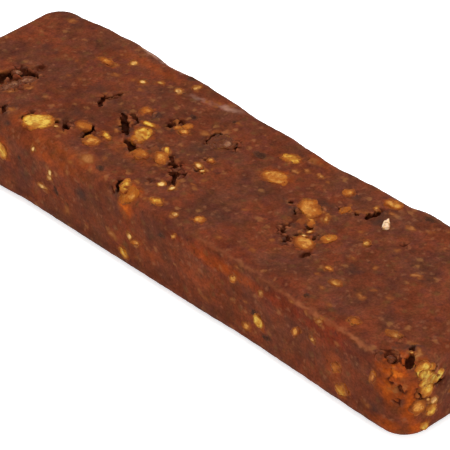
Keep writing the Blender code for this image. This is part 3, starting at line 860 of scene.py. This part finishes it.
# %% Dark clouds
CLOUDS = (
    ("top", -28.6, 1.6, 4.5, 3.4, 20, 0.55), ("top", -42.0, 3.0, 4.5, 3.0, 0, 0.5),
    ("top", -33.0, -6.8, 3.0, 2.2, 0, 0.4), ("top", -26.0, -5.0, 3.0, 2.0, 0, 0.4),
    ("top", -7.0, 1.6, 3.2, 2.2, 0, 0.55), ("top", 15.5, 5.2, 4.0, 1.6, 0, 0.55),
    ("top", 23.4, 7.4, 2.8, 3.0, 0, 0.6), ("top", 29.0, -3.2, 3.2, 2.4, 0, 0.5),
    ("top", 35.0, -11.1, 3.0, 2.0, 0, 0.4), ("top", 3.0, 1.0, 2.4, 1.8, 0, 0.3),
    ("top", 7.0, -8.0, 4.0, 2.6, 30, 0.35), ("top", -35.0, 11.0, 4.0, 2.2, 0, 0.35),
    ("near", -15.5, 8.6, 3.0, 2.4, 0, 0.75), ("near", 15.0, 7.6, 3.0, 2.0, 0, 0.45),
    ("near", 43.9, 3.6, 2.4, 2.0, 0, 0.55), ("near", 45.2, 6.1, 1.6, 1.6, 0, 0.5),
    ("near", 20.1, 6.7, 3.0, 1.8, 0, 0.6), ("near", 1.6, 10.1, 2.4, 1.6, 0, 0.6),
    ("near", 22.7, 3.6, 2.8, 1.4, 0, 0.6), ("near", -27.5, 5.0, 2.6, 3.0, 0, 0.4),
    ("near", 31.0, 5.5, 3.0, 2.6, 0, 0.35), ("near", -1.0, 9.0, 2.6, 2.0, 0, 0.35),
    ("top", -32.1, -13.5, 1.9, 1.5, 0, 0.85),
)

# %% Orange glow
GLOWS = (
    ("near", 46.8, 11.5, 7.0, 4.0, 0, 1.0), ("near", 46.5, 8.5, 6.5, 8.0, 0, 0.8),
    ("right", -12.2, 7.0, 4.0, 12.0, 0, 0.75), ("right", -11.0, 1.8, 5.0, 3.4, 0, 0.8),
    ("near", 46.0, 2.0, 8.0, 3.6, 0, 0.65), ("top", 47.0, -12.4, 6.0, 4.0, 0, 0.6),
    ("top", -6.4, -12.6, 5.5, 4.0, 0, 0.9), ("near", -6.0, 11.0, 4.5, 4.5, 0, 0.8),
    ("top", -20.0, -12.8, 28.0, 3.4, 0, 0.4), ("near", -22.0, 11.4, 28.0, 4.5, 0, 0.42),
    ("top", -30.0, -12.0, 9.0, 4.0, 0, 0.5), ("top", -14.0, -6.0, 14.0, 6.0, 0, 0.4),
    ("top", 6.0, 5.0, 6.5, 4.2, 0, 0.8), ("top", 16.0, 1.0, 8.0, 8.0, 0, 0.35),
    ("near", 14.0, 11.2, 22.0, 3.8, 0, 0.5), ("near", 36.0, 6.0, 7.0, 8.0, 0, 0.4),
    ("near", 4.0, 6.5, 96.0, 13.0, 0, 0.22),
    ("near", 0.0, 5.5, 9.0, 4.0, 0, 0.35), ("near", -33.0, 8.5, 6.0, 6.0, 0, 0.5),
    ("top", -27.0, 11.2, 24.0, 3.4, 0, 0.35), ("top", 8.0, 12.0, 10.0, 2.6, 0, 0.4),
    ("far", -15.0, 11.0, 24.0, 4.0, 0, 0.45), ("far", 25.0, 8.0, 10.0, 6.0, 0, 0.5),
    ("left", 3.0, 8.0, 8.0, 6.0, 0, 0.5), ("right", 6.0, 9.0, 7.0, 5.0, 0, 0.45),
)
hidden_sunk = (
    spread(55, "far", 40, 2.2, -46, 46, 2.0, 12.4, 2.2)
    + spread(56, "left", 12, 2.2, -11, 11, 2.0, 12.4, 2.0)
    + spread(57, "right", 9, 2.2, -5, 11, 2.0, 12.4, 2.0)
)
print("spots under the skin:", len(SUNK) + len(hidden_sunk), "sunk,", len(CLOUDS), "dark,",
      len(GLOWS), "glowing")

# %% [markdown]
# ## Painting a spot
# A spot could be an image laid on the bar, but then the skin would have to be unwrapped.
# It is simpler to ask of every point how far inside the spot's ellipse it lies. Noise
# shifts the answer a little, so that no outline is a clean oval.

# %% A ragged ellipse on the skin
skin = points_of(paste)
ragged = np.stack([waves(skin, ((0.5, 0.9, shift), (0.25, 0.4, shift + 3)))
                   for shift in (11, 23)], 1)


def spot(row, inner, outer):
    """Say how far each point lies inside one row's ellipse, fading from inner to outer."""
    face, along, across, length, width, turn = row[:6]
    place = settle(bare_surface, face, along, across) @ Matrix.Rotation(math.radians(turn), 4, "Z")
    local = (skin - np.array(place.translation)) @ np.array(place.to_3x3())
    flat = (local[:, :2] + ragged * min(1.2, width)) / (length / 2, width / 2)
    amount = 1 - smooth_step(np.hypot(flat[:, 0], flat[:, 1]), inner, outer)
    return np.where(np.abs(local[:, 2]) < 1.5 + 0.3 * width, amount, 0)


def paint(rows, inner, outer, strength=1.0):
    """Combine many ellipses: the strongest one wins at each point."""
    layer = np.zeros(len(skin))
    for row in rows:
        amount = row[6] if len(row) > 6 else 1.0
        layer = np.maximum(layer, amount * strength * spot(row, inner, outer))
    return layer


# %% [markdown]
# ## Rubble, painted gleams and painted sheen
# Where broken nuts lie close together, the thin skin over them is rubble. The crisp part
# of the near rim catches the light in a fine line, painted as a highlight, with a warmer
# band below it, and pale streaks of painted sheen run along the far rim and on the top
# near it. Each could be a material of its own, but they fade into the paste, so they are
# rows of spots too.

# %% Rubble, where broken nuts lie close together under a thin skin
RUBBLE = (
    ("top", 17.0, -1.0, 13.0, 11.0, 0, 0.8), ("top", -13.0, -4.0, 20.0, 11.0, -15, 0.8),
    ("right", -9.5, 7.5, 5.0, 10.0, 0, 0.6), ("top", 48.0, -10.5, 4.0, 4.0, 0, 0.7),
    ("top", -38.0, -6.0, 10.0, 9.0, 0, 0.9), ("top", 21.5, 8.5, 8.0, 5.0, 0, 0.7),
    ("top", -7.0, -12.6, 7.0, 5.0, 0, 0.8), ("top", -32.0, -11.0, 9.0, 5.0, 0, 0.6),
    ("top", 5.9, 4.5, 6.0, 4.0, 0, 0.6), ("top", -24.0, -8.5, 8.0, 5.0, 0, 0.6),
)

# %% The line of light on the near rim, the warm band below it and the painted sheen streaks
RIM_GLEAM = (
    ("top", 15.0, -13.2, 16.0, 0.9, 0, 0.6), ("top", 29.0, -13.55, 18.0, 0.9, -1, 0.85),
    ("top", 38.5, -13.75, 14.0, 0.8, -2, 0.85),
)
WARM_BAND = (
    ("near", 10.0, 11.5, 24.0, 3.4, 0, 0.7), ("near", 31.0, 11.5, 30.0, 4.2, 0, 1.0),
    ("top", 24.0, -12.5, 44.0, 2.6, -1, 0.4),
)
# Streaks of painted sheen along the far rim and on the top near it.
PAINTED_SHEEN_STREAKS = (
    ("top", -24.8, 13.35, 6.0, 1.0, 3, 1.0), ("top", -30.5, 13.6, 6.0, 0.8, -3, 0.7),
    ("top", 24.0, 13.6, 7.0, 0.8, 3, 0.6), ("top", -15.9, 10.3, 4.6, 1.0, 16, 0.3),
    ("top", -11.3, 11.7, 5.0, 1.3, 20, 0.55),
)

# %% [markdown]
# ## Layers
# All the spots of a kind make one layer: a number from 0 to 1 on every point, which the
# paste's material reads as a mask. Cracks and nuts give layers too, by how far away the
# nearest one is, and the pits give painted shade, darker the deeper a point lies under
# the bare skin.

# %% Around the nuts and the cracks
all_nuts = [row[:6] for rows in nuts.values() for row in rows]
soaked_nuts = [row[:6] for row in (*nuts["yellow"], *nuts["amber"])]


def swell_rows(rows, more):
    """The same ellipses, larger by one margin."""
    return [(*row[:3], row[3] + more, row[4] + more, *row[5:]) for row in rows]


crack_tree = KDTree(len(crack_places))
for index, (place, width) in enumerate(crack_places):
    crack_tree.insert(place, index)
crack_tree.balance()
gap = np.array([distance - 0.5 * crack_places[index][1]
                for _, index, distance in (crack_tree.find(p) for p in skin)])

# %% Layers
crumbly = np.maximum(paint(RUBBLE, 0.2, 1.1, 0.7), 1 - smooth_step(gap, 0.1, 1.3))
lip = np.exp(-((gap - 0.2) / 0.25) ** 2)
nut_core = paint(all_nuts + list(FLECKS), 0.5, 0.95)
nut_rim = paint(swell_rows(all_nuts, 0.9), 0.6, 1.0) * (1 - nut_core)
glow = np.maximum(paint(GLOWS, 0.1, 1.2), paint(soaked_nuts, 0.8, 1.7, 0.5))
sunk = np.maximum(paint(SUNK, 0.0, 1.5), paint(hidden_sunk, 0.0, 1.5, 0.65))
sunk = np.maximum(sunk, paint(swell_rows(all_nuts, 0.8), 0.3, 1.15, 0.7))
cloud = np.maximum(paint(CLOUDS, 0.0, 1.3), paint(swell_rows(FLECKS, 0.4), 0.2, 1.25, 0.9))
# Painted highlight: the line of light on the crisp near rim, and pale lips along the cracks.
gleam = np.maximum(paint(RIM_GLEAM, 0.1, 1.2), 0.9 * lip * smooth_step(ragged[:, 0], 0.0, 0.25))
# Painted sheen along the far rim and on the top near it.
sheen_streak = paint(PAINTED_SHEEN_STREAKS, 0.0, 1.3)
warm = paint(WARM_BAND, 0.3, 1.2)


def depth_below(point):
    """Measure how far a point lies under the bare skin."""
    hit, normal, _, _ = bare_surface.find_nearest(point)
    return -(point - hit).dot(normal)


# Painted shade: the deeper a point lies under the bare skin, the darker its paste.
pit_shade = smooth_step(np.array([depth_below(Vector(p)) for p in skin]), 0.08, 1.1)
print("points:", len(skin), "of which in pits:", int((pit_shade > 0.5).sum()))

# %% [markdown]
# ## Lumps of rubble
# Crumbly paste breaks into lumps of about a millimetre. They could be hundreds of small
# stones, but they hold together. So every point finds the nearest two of many random
# middles: where both are as near, two lumps meet, and there is a groove.

# %% Rubble: lumps of paste with grooves between them
POINTS_IN_A_LUMP = 48
SEEN = 0.02

rng = random.Random(13)
seeds = rng.sample(range(len(skin)), len(skin) // POINTS_IN_A_LUMP)
lump_tree = KDTree(len(seeds))
for number, index in enumerate(seeds):
    lump_tree.insert(skin[index] + 0.3 * ragged[index, 0], number)
lump_tree.balance()
lump_tone = np.array([rng.random() for _ in seeds])
groove, tint = np.zeros(len(skin)), np.zeros(len(skin))
for index in np.flatnonzero(crumbly > SEEN):
    (_, first, near), (_, _, next_near) = lump_tree.find_n(skin[index], 2)
    groove[index] = next_near - near
    tint[index] = lump_tone[first]
broken = smooth_step(noise_at(skin, 1.6, 31), -0.1, 0.25)
groove = np.where(crumbly > SEEN, 1 - smooth_step(groove, 0.03, 0.30), 0) * crumbly * broken
bits = smooth_step(tint, 0.72, 0.95) * crumbly * (1 - groove)
sunk = np.maximum(sunk, 0.55 * bits)
cloud = np.maximum(cloud, 0.6 * crumbly * (1 - smooth_step(tint, 0.05, 0.25)) * (tint > 0))
# The grooves between lumps get painted shade too.
pit_shade = np.maximum(pit_shade, 0.6 * groove)
print("lumps of rubble:", len(seeds), "and points in grooves:", int((groove > 0.5).sum()))

# %% [markdown]
# ## Sculpting the skin
# The paste is crumbly close to a crack, rises a little against each nut, and has a
# fine uneven grain everywhere. Those are all small moves along the skin's normals, too
# many and too irregular for modelling tools, so they are worked out for every point.

# %% Relief
# Fine grain all over and crumbs in the rubble, as rows of waves: (size, spread, shift).
GRAIN_WAVES = ((0.050, 1.2, 0), (0.035, 0.6, 5))
CRUMB_WAVES = ((0.22, 1.3, 9), (0.16, 0.6, 13))

# How deep the grooves are, how deep nuts lie in their beds, and how high a crack's lip is.
GROOVE_DEPTH = 0.25
NUT_BED = 0.22
LIP_HEIGHT = 0.09

relief = waves(skin, GRAIN_WAVES)
relief += crumbly * waves(skin, CRUMB_WAVES) - GROOVE_DEPTH * groove
relief *= 1 - nut_core
relief += (1 - pit_shade) * (nut_rim * (0.03 + 0.22 * noise_at(skin, 0.5, 17)) - NUT_BED * nut_core)
relief += LIP_HEIGHT * lip * np.clip(1 - 4 * pit_shade, 0, 1) * (1 + 2 * ragged[:, 1])
above = np.clip(skin[:, 2] / 0.8, 0, 1)
moved = skin + normals_of(paste) * (relief * above)[:, None]
flat = skin[:, 2] < UNDERSIDE
moved[flat, 2] = 0.03 + 0.02 * noise_at(skin[flat], 4.0)
set_points(paste, moved)
print("relief, mm:", relief.min().round(2), "to", relief.max().round(2))

# %% Store the layers, and rest every piece on the floor
layers = {"glow": glow, "sunk": sunk, "cloud": cloud, "pit_shade": pit_shade,
          "gleam": gleam, "sheen_streak": sheen_streak, "warm": warm}
for name, layer in layers.items():
    mark(paste, name, layer)
    print(f"layer {name}: on {(layer > 0.3).mean():.1%} of the points, at most {layer.max():.2f}")
bpy.data.objects.remove(bare, do_unlink=True)
for piece in pieces.values():
    points = points_of(piece)
    points[:, 2] = np.maximum(points[:, 2], 0.0)
    set_points(piece, points)

# %% [markdown]
# ## Fewer faces
# Sculpting took more faces than the finished skin needs. A coarser Remesh would blur the
# cracks. Decimate removes the faces that change the form least instead, and carries the
# painted layers over to the points that stay.

# %% Thin the skin
SKIN_TRIANGLES = 192_000

triangles = triangles_of(paste)
thinner = paste.modifiers.new("Fewer faces", "DECIMATE")
thinner.ratio = SKIN_TRIANGLES / triangles
apply_modifiers(paste)
print("skin triangles:", triangles, "->", triangles_of(paste))

# %% [markdown]
# ## Materials
# The colours could come from an image, but it would have to be unwrapped over every pit.
# So every colour below is procedural and reads the piece's own coordinates in mm, and
# nothing slides when the bar moves. The paste and the nuts are Principled shaders with
# some subsurface scattering, because light enters both before it comes back out.

# %% Node helpers
def new_material(name):
    """Make a material and return its node tree and its Principled shader."""
    material = bpy.data.materials.new(name)
    material.use_nodes = True
    return material, material.node_tree, material.node_tree.nodes["Principled BSDF"]


def feed(tree, node, inputs):
    """Link a node's inputs to other nodes' sockets, or set them to plain values."""
    for key, value in inputs.items():
        if isinstance(value, bpy.types.NodeSocket):
            tree.links.new(value, node.inputs[key])
        else:
            node.inputs[key].default_value = value


def add(tree, kind, inputs, **settings):
    """Add one node with its settings, and feed its inputs."""
    node = tree.nodes.new(kind)
    for key, value in settings.items():
        setattr(node, key, value)
    feed(tree, node, inputs)
    return node


def scaled(tree, vector, factor):
    """Multiply a vector by one number."""
    inputs = {0: vector, 1: (factor, factor, factor)}
    return add(tree, "ShaderNodeVectorMath", inputs, operation="MULTIPLY").outputs[0]


def in_mm(tree):
    """Read the piece's own coordinates, in mm."""
    return scaled(tree, add(tree, "ShaderNodeTexCoord", {}).outputs["Object"], 1 / MM)


# %% Pattern helpers
def cloudy(tree, place, size, detail=2.0, seed=0.0):
    """Noise whose blobs are about one size, in mm."""
    inputs = {"Vector": place, "W": seed, "Scale": 1 / size, "Detail": detail, "Roughness": 0.5}
    return add(tree, "ShaderNodeTexNoise", inputs, noise_dimensions="4D").outputs[0]


def between(tree, value, low, high, to_low=0.0, to_high=1.0):
    """Map a range smoothly to another one."""
    inputs = {"Value": value, "From Min": low, "From Max": high,
              "To Min": to_low, "To Max": to_high}
    return add(tree, "ShaderNodeMapRange", inputs, interpolation_type="SMOOTHSTEP").outputs[0]


def blend(tree, amount, first, second, how="MIX"):
    """Mix two colours."""
    inputs = {0: amount, 6: first, 7: second}
    return add(tree, "ShaderNodeMix", inputs, data_type="RGBA", blend_type=how).outputs[2]


def maths(tree, how, first, second, clamp=True):
    """Combine two numbers, and keep the result between 0 and 1 unless told not to."""
    inputs = {0: first, 1: second}
    return add(tree, "ShaderNodeMath", inputs, operation=how, use_clamp=clamp).outputs[0]


def painted(tree, name):
    """Read a layer that is stored on the points."""
    return add(tree, "ShaderNodeAttribute", {}, attribute_name=name).outputs["Fac"]


def specks(tree, place, size, radius, share, seed):
    """Small separate grains: a share of the cells of a Voronoi pattern has one."""
    shifted = add(tree, "ShaderNodeVectorMath", {0: place, 1: (seed, seed, seed)}).outputs[0]
    cells = add(tree, "ShaderNodeTexVoronoi", {"Vector": shifted, "Scale": 1 / size})
    grain = between(tree, cells.outputs["Distance"], radius * 1.4 / size, radius * 0.3 / size)
    chosen = add(tree, "ShaderNodeSeparateColor", {0: cells.outputs["Color"]}).outputs[0]
    return maths(tree, "MULTIPLY", grain, maths(tree, "LESS_THAN", chosen, share))


# %% [markdown]
# ## Paste colour
# Ground date is red-brown and cocoa greys it, unevenly. One noise would give one look
# all over, so the colour is built up as a painter would: patches and mottling, the warm
# band and the glow, lighter and darker shades, grains, and last what was painted on,
# which is clouds, painted highlights and sheen, sunk nuts and painted shade in the pits.

# %% Patches, the warm band and the glow
PASTE_GREY = (0.097, 0.0285, 0.0142, 1)
PASTE_RED = (0.134, 0.0285, 0.0104, 1)
PASTE_OLIVE = (0.109, 0.0335, 0.0112, 1)
PASTE_PURPLE = (0.094, 0.0228, 0.0142, 1)
WARM_TINT = (1.10, 0.68, 0.48, 1)
GLOW_ORANGE = (0.29, 0.050, 0.005, 1)
GLOW_BRIGHT = (0.56, 0.130, 0.012, 1)


def paste_patches(tree, place, mottle):
    """Grey, red, olive and purple patches, warm and bright where the paste is thin."""
    broad = cloudy(tree, place, 5.0, 3.0, 1.0)
    other = cloudy(tree, place, 1.9, 2.0, 8.0)
    colour = blend(tree, between(tree, broad, 0.38, 0.62), PASTE_GREY, PASTE_RED)
    colour = blend(tree, between(tree, mottle, 0.46, 0.70, 0.0, 0.6), colour, PASTE_OLIVE)
    colour = blend(tree, between(tree, other, 0.48, 0.68, 0.0, 0.6), colour, PASTE_PURPLE)
    colour = blend(tree, between(tree, mottle, 0.46, 0.30, 0.0, 0.4), colour, PASTE_RED)
    colour = blend(tree, painted(tree, "warm"), colour, WARM_TINT, "MULTIPLY")
    glow = maths(tree, "MULTIPLY", painted(tree, "glow"), between(tree, other, 0.3, 0.6, 0.7, 1.0))
    colour = blend(tree, between(tree, glow, 0.0, 0.8), colour, GLOW_ORANGE)
    return blend(tree, between(tree, glow, 0.65, 1.0), colour, GLOW_BRIGHT)


# %% Shades and grains
SUNK_AMBER = (0.375, 0.152, 0.044, 1)
PALE_GRAIN = (0.24, 0.090, 0.038, 1)
OLIVE_GRAIN = (0.13, 0.065, 0.018, 1)
DARK_GRAIN = (0.040, 0.013, 0.008, 1)

# Shades: (size, seed, darkest, lightest).
SHADES = ((7.0, 9.0, 0.82, 1.20), (1.7, 19.0, 0.80, 1.22), (0.32, 29.0, 0.79, 1.23))

# Grains: (distance, radius, share that is there, seed, strength, colour).
GRAINS = (
    (2.3, 0.50, 0.45, 7.0, 0.35, SUNK_AMBER),
    (1.3, 0.34, 0.60, 3.0, 0.42, PALE_GRAIN),
    (1.8, 0.50, 0.50, 13.0, 0.36, OLIVE_GRAIN),
    (1.5, 0.30, 0.50, 17.0, 0.50, DARK_GRAIN),
)
RAGGEDNESS = 1.3


def paste_grains(tree, place, colour):
    """Lighter and darker shades of three sizes, then ragged separate grains."""
    for size, seed, low, high in SHADES:
        shade = between(tree, cloudy(tree, place, size, 2.0, seed), 0.25, 0.75, low, high)
        colour = blend(tree, 1.0, colour, shade, "MULTIPLY")
    inputs = {"Vector": place, "Scale": 1.3, "Detail": 3.0}
    warp = scaled(tree, add(tree, "ShaderNodeTexNoise", inputs).outputs["Color"], RAGGEDNESS)
    ragged_place = add(tree, "ShaderNodeVectorMath", {0: place, 1: warp}).outputs[0]
    for size, radius, share, seed, strength, tint in GRAINS:
        grains = specks(tree, ragged_place, size, radius, share, seed)
        colour = blend(tree, maths(tree, "MULTIPLY", grains, strength), colour, tint)
    return colour


# %% Clouds, painted gleams and sheen, sunk nuts and painted shade in the pits
CLOUD_DARK = (0.038, 0.021, 0.015, 1)
# Painted highlight on the near rim and the lips of cracks.
GLEAM = (0.29, 0.090, 0.034, 1)
# Painted sheen.
SHEEN_STREAK_COLOUR = (0.44, 0.25, 0.18, 1)
SUNK_RIM = (0.205, 0.056, 0.013, 1)
# Painted shade in pits and grooves: red-brown where shallow, near black where deep.
PIT_SHADE_RED = (0.060, 0.012, 0.004, 1)
PIT_SHADE_DARK = (0.016, 0.004, 0.0015, 1)


def paste_spots(tree, colour, mottle, grain):
    """The painted layers, from clouds to painted shade in the pits, lighter in the glow."""
    colour = blend(tree, painted(tree, "cloud"), colour, CLOUD_DARK)
    # Painted highlight, broken up by the mottling.
    gleam = maths(tree, "MULTIPLY", painted(tree, "gleam"), between(tree, mottle, 0.35, 0.6, 0.4, 1.0))
    colour = blend(tree, gleam, colour, GLEAM)
    # Painted sheen on and near the far rim.
    colour = blend(tree, painted(tree, "sheen_streak"), colour, SHEEN_STREAK_COLOUR)
    sunk = painted(tree, "sunk")
    colour = blend(tree, between(tree, sunk, 0.02, 0.65), colour, SUNK_RIM)
    core = maths(tree, "MULTIPLY", between(tree, sunk, 0.35, 1.0),
                 between(tree, grain, 0.3, 0.6, 0.5, 1.0))
    colour = blend(tree, core, colour, SUNK_AMBER)
    colour = blend(tree, between(tree, grain, 0.5, 0.75, 0.0, 0.2), colour, DARK_GRAIN)
    # Painted shade in pits and grooves, lighter where the glow is.
    pit_shade = painted(tree, "pit_shade")
    colour = blend(tree, between(tree, pit_shade, 0.0, 0.45), colour, PIT_SHADE_RED)
    lit = maths(tree, "MULTIPLY", painted(tree, "glow"), -0.85, False)
    deep = maths(tree, "MULTIPLY", between(tree, pit_shade, 0.4, 0.95), maths(tree, "ADD", lit, 0.7))
    return blend(tree, deep, colour, PIT_SHADE_DARK)


# %% Paste material
def paste_material():
    """Date and cocoa paste with a soft sheen and a fine bump."""
    material, tree, shader = new_material("date_paste")
    place = in_mm(tree)
    mottle = cloudy(tree, place, 1.5, 2.0, 2.0)
    grain = cloudy(tree, place, 0.45, 3.0, 3.0)
    fine = cloudy(tree, place, 0.18, 2.0, 4.0)
    colour = paste_patches(tree, place, mottle)
    colour = paste_grains(tree, place, colour)
    colour = paste_spots(tree, colour, mottle, grain)
    height = maths(tree, "ADD", maths(tree, "MULTIPLY", grain, 0.6),
                   maths(tree, "MULTIPLY", fine, 0.4))
    bump = add(tree, "ShaderNodeBump", {"Strength": 0.7, "Distance": 0.06 * MM, "Height": height})
    feed(tree, shader, {
        "Base Color": colour,
        "Roughness": between(tree, mottle, 0.3, 0.7, 0.58, 0.42),
        "Normal": bump.outputs[0],
        "Subsurface Weight": 0.15,
        "Subsurface Radius": (1.0, 0.35, 0.15),
        "Subsurface Scale": MM,
        "Specular IOR Level": 0.02,
    })
    return material


# %% [markdown]
# ## Nut colours
# A kernel is brightest in the middle. Syrup creeps in from its outline, turns it amber,
# and lies on the outline itself as a brown film. A ramp over noise alone would put the
# amber anywhere, so the colour follows the stored layer inside, and noise and each
# chunk's own tone break it up.

# %% Syrup colours
SYRUP_FILM = (0.165, 0.037, 0.008, 1)
SYRUP_BROWN = (0.230, 0.060, 0.010, 1)
SOAKED_ORANGE = (0.34, 0.095, 0.012, 1)
FILMS = (SYRUP_FILM, SYRUP_BROWN)

# %% How far each point is from the film to the bright middle
def ripeness(tree, patches, grain, soak):
    """Go from 0 at a soaked outline to 1 in a clean middle, unevenly."""
    uneven = maths(tree, "ADD", between(tree, patches, 0.36, 0.64, 0.0, 0.42),
                   between(tree, grain, 0.3, 0.7, 0.0, 0.08))
    inside = painted(tree, "inside")
    uneven = maths(tree, "MULTIPLY", uneven, between(tree, inside, 0.0, 1.0, 1.0 - soak, 1.0))
    ripe = maths(tree, "ADD", maths(tree, "MULTIPLY", inside, 0.6), uneven)
    return maths(tree, "MULTIPLY", ripe, maths(tree, "ADD", painted(tree, "tone"), 0.5))


# %% Nut material
def nut_material(name, amber, body, bright, tint, soak, films=FILMS, gloss=0.03):
    """Chopped nut: a film of syrup at its outline, then three colours to its middle."""
    material, tree, shader = new_material(name)
    place = in_mm(tree)
    patches = cloudy(tree, place, 1.0, 3.0, 5.0)
    grain = cloudy(tree, place, 0.3, 2.0, 6.0)
    ripe = ripeness(tree, patches, grain, soak)
    colour = blend(tree, between(tree, ripe, 0.10, 0.38), *films)
    colour = blend(tree, between(tree, ripe, 0.22, 0.52), colour, amber)
    colour = blend(tree, between(tree, ripe, 0.40, 0.75), colour, body)
    colour = blend(tree, between(tree, ripe, 0.60, 1.00), colour, bright)
    soaked = cloudy(tree, place, 1.4, 2.0, 15.0)
    colour = blend(tree, between(tree, soaked, 0.47, 0.63, 0.0, 0.75), colour, tint)
    fold = maths(tree, "SUBTRACT", cloudy(tree, place, 0.8, 2.0, 25.0), 0.5, False)
    fold = maths(tree, "ABSOLUTE", fold, 0)
    colour = blend(tree, between(tree, fold, 0.02, 0.0, 0.0, 0.3), colour, SYRUP_BROWN)
    colour = blend(tree, 1.0, colour, between(tree, grain, 0.3, 0.7, 0.88, 1.08), "MULTIPLY")
    bump = add(tree, "ShaderNodeBump", {"Strength": 0.6, "Distance": 0.1 * MM, "Height": grain})
    feed(tree, shader, {
        "Base Color": colour,
        "Roughness": between(tree, patches, 0.3, 0.7, 0.5, 0.32),
        "Normal": bump.outputs[0],
        "Subsurface Weight": 0.4,
        "Subsurface Radius": (1.0, 0.55, 0.2),
        "Subsurface Scale": 0.8 * MM,
        "Specular IOR Level": gloss,
    })
    return material


# %% A finish for every kind
# Each has three colours from its rim to its middle, the tint of its soaked patches and
# how strongly its rim is soaked. Lumps and flecks have films and a gloss of their own.
DATE_BROWN = (0.115, 0.030, 0.011, 1)
FLECK_RIM = (0.085, 0.027, 0.013, 1)

finishes = {
    "yellow": nut_material("yellow_nut", (0.34, 0.115, 0.014, 1), (0.49, 0.215, 0.024, 1),
                           (0.62, 0.400, 0.070, 1), SOAKED_ORANGE, 0.3),
    "amber": nut_material("amber_nut", (0.26, 0.066, 0.010, 1), (0.36, 0.110, 0.016, 1),
                          (0.52, 0.235, 0.046, 1), SOAKED_ORANGE, 0.75),
    "cream": nut_material("cream_nut", (0.32, 0.125, 0.024, 1), (0.50, 0.24, 0.055, 1),
                          (0.74, 0.47, 0.17, 1), SYRUP_BROWN, 0.6),
    "flakes": nut_material("pale_flake", (0.45, 0.22, 0.10, 1), (0.66, 0.38, 0.20, 1),
                           (0.85, 0.56, 0.36, 1), SYRUP_BROWN, 0.3),
    "lumps": nut_material("date_lump", (0.094, 0.023, 0.009, 1), (0.130, 0.042, 0.018, 1),
                          (0.27, 0.115, 0.056, 1), DATE_BROWN, 0.3,
                          (DATE_BROWN, DATE_BROWN), 0.06),
    "flecks": nut_material("dark_fleck", (0.060, 0.021, 0.011, 1), (0.045, 0.016, 0.009, 1),
                           (0.036, 0.013, 0.008, 1), (0.048, 0.019, 0.011, 1), 0.3,
                           (FLECK_RIM, FLECK_RIM), 0.02),
    "paste": paste_material(),
}
print("finishes:", ", ".join(finishes))

# %% [markdown]
# ## Finish the pieces
# Each piece is smooth-shaded, gets its material, is shrunk from millimetres to metres,
# and is tied to the body that carries it. It could be shrunk by its scale, but then its
# own coordinates would stay in millimetres, so the points themselves are moved.

# %% Finish the pieces
pieces["paste"] = paste
for key, piece in pieces.items():
    piece.data.materials.clear()
    piece.data.materials.append(finishes[key])
    piece.data.shade_smooth()
    piece.data.transform(Matrix.Scale(MM, 4))
    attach(piece, "root")
    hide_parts("bar")
    print(piece.name, len(piece.data.polygons), "faces")

# %% [markdown]
# ## Floor and light
# The bar is shown on plain white under wide soft light, as in a light tent: one large
# softbox overhead, a low one on each side, and a pale sky between them. The sky alone
# would do for white, but dark paste under a bright sky looks grey, so it is kept dim.
# The floor lies a hair below the bar and shines a little, for the camera alone.

# %% Floor
FLOOR_DROP = 0.00002
FLOOR_SHINE = 0.6

bpy.ops.object.select_all(action="DESELECT")
bpy.ops.mesh.primitive_plane_add(size=6.0, location=(0, 0, -FLOOR_DROP))
floor = bpy.context.object
floor.name = "floor"
floor_material, floor_tree, floor_shader = new_material("floor_white")
seen = add(floor_tree, "ShaderNodeLightPath", {}).outputs["Is Camera Ray"]
feed(floor_tree, floor_shader, {
    "Base Color": (0.97, 0.97, 0.97, 1),
    "Roughness": 0.9,
    "Specular IOR Level": 0.0,
    "Emission Color": (1, 1, 1, 1),
    "Emission Strength": maths(floor_tree, "MULTIPLY", seen, FLOOR_SHINE),
})
floor.data.materials.append(floor_material)

# %% Sky
world = bpy.data.worlds.new("tent")
bpy.context.scene.world = world
world.use_nodes = True
sky = {"Color": (1, 1, 1, 1), "Strength": 0.30}
feed(world.node_tree, world.node_tree.nodes["Background"], sky)


# %% Softboxes
def softbox(name, place, size, power):
    """A square area light that looks at the bar."""
    bpy.ops.object.light_add(type="AREA", location=place)
    lamp = bpy.context.object
    lamp.name = name
    lamp.data.size = size
    lamp.data.energy = power
    lamp.rotation_mode = "QUATERNION"
    lamp.rotation_quaternion = (-Vector(place)).to_track_quat("-Z", "Y")
    lamp.visible_camera = False


softbox("top_softbox", (-0.1, 0.05, 0.7), 0.55, 4.3)
softbox("front_softbox", (0.15, -0.75, 0.28), 0.40, 2.3)
softbox("back_softbox", (-0.15, 0.75, 0.28), 0.40, 0.9)
softbox("right_softbox", (0.75, 0.0, 0.22), 0.40, 2.5)
softbox("left_softbox", (-0.75, 0.0, 0.28), 0.40, 1.0)
bpy.context.scene.view_settings.view_transform = "Standard"
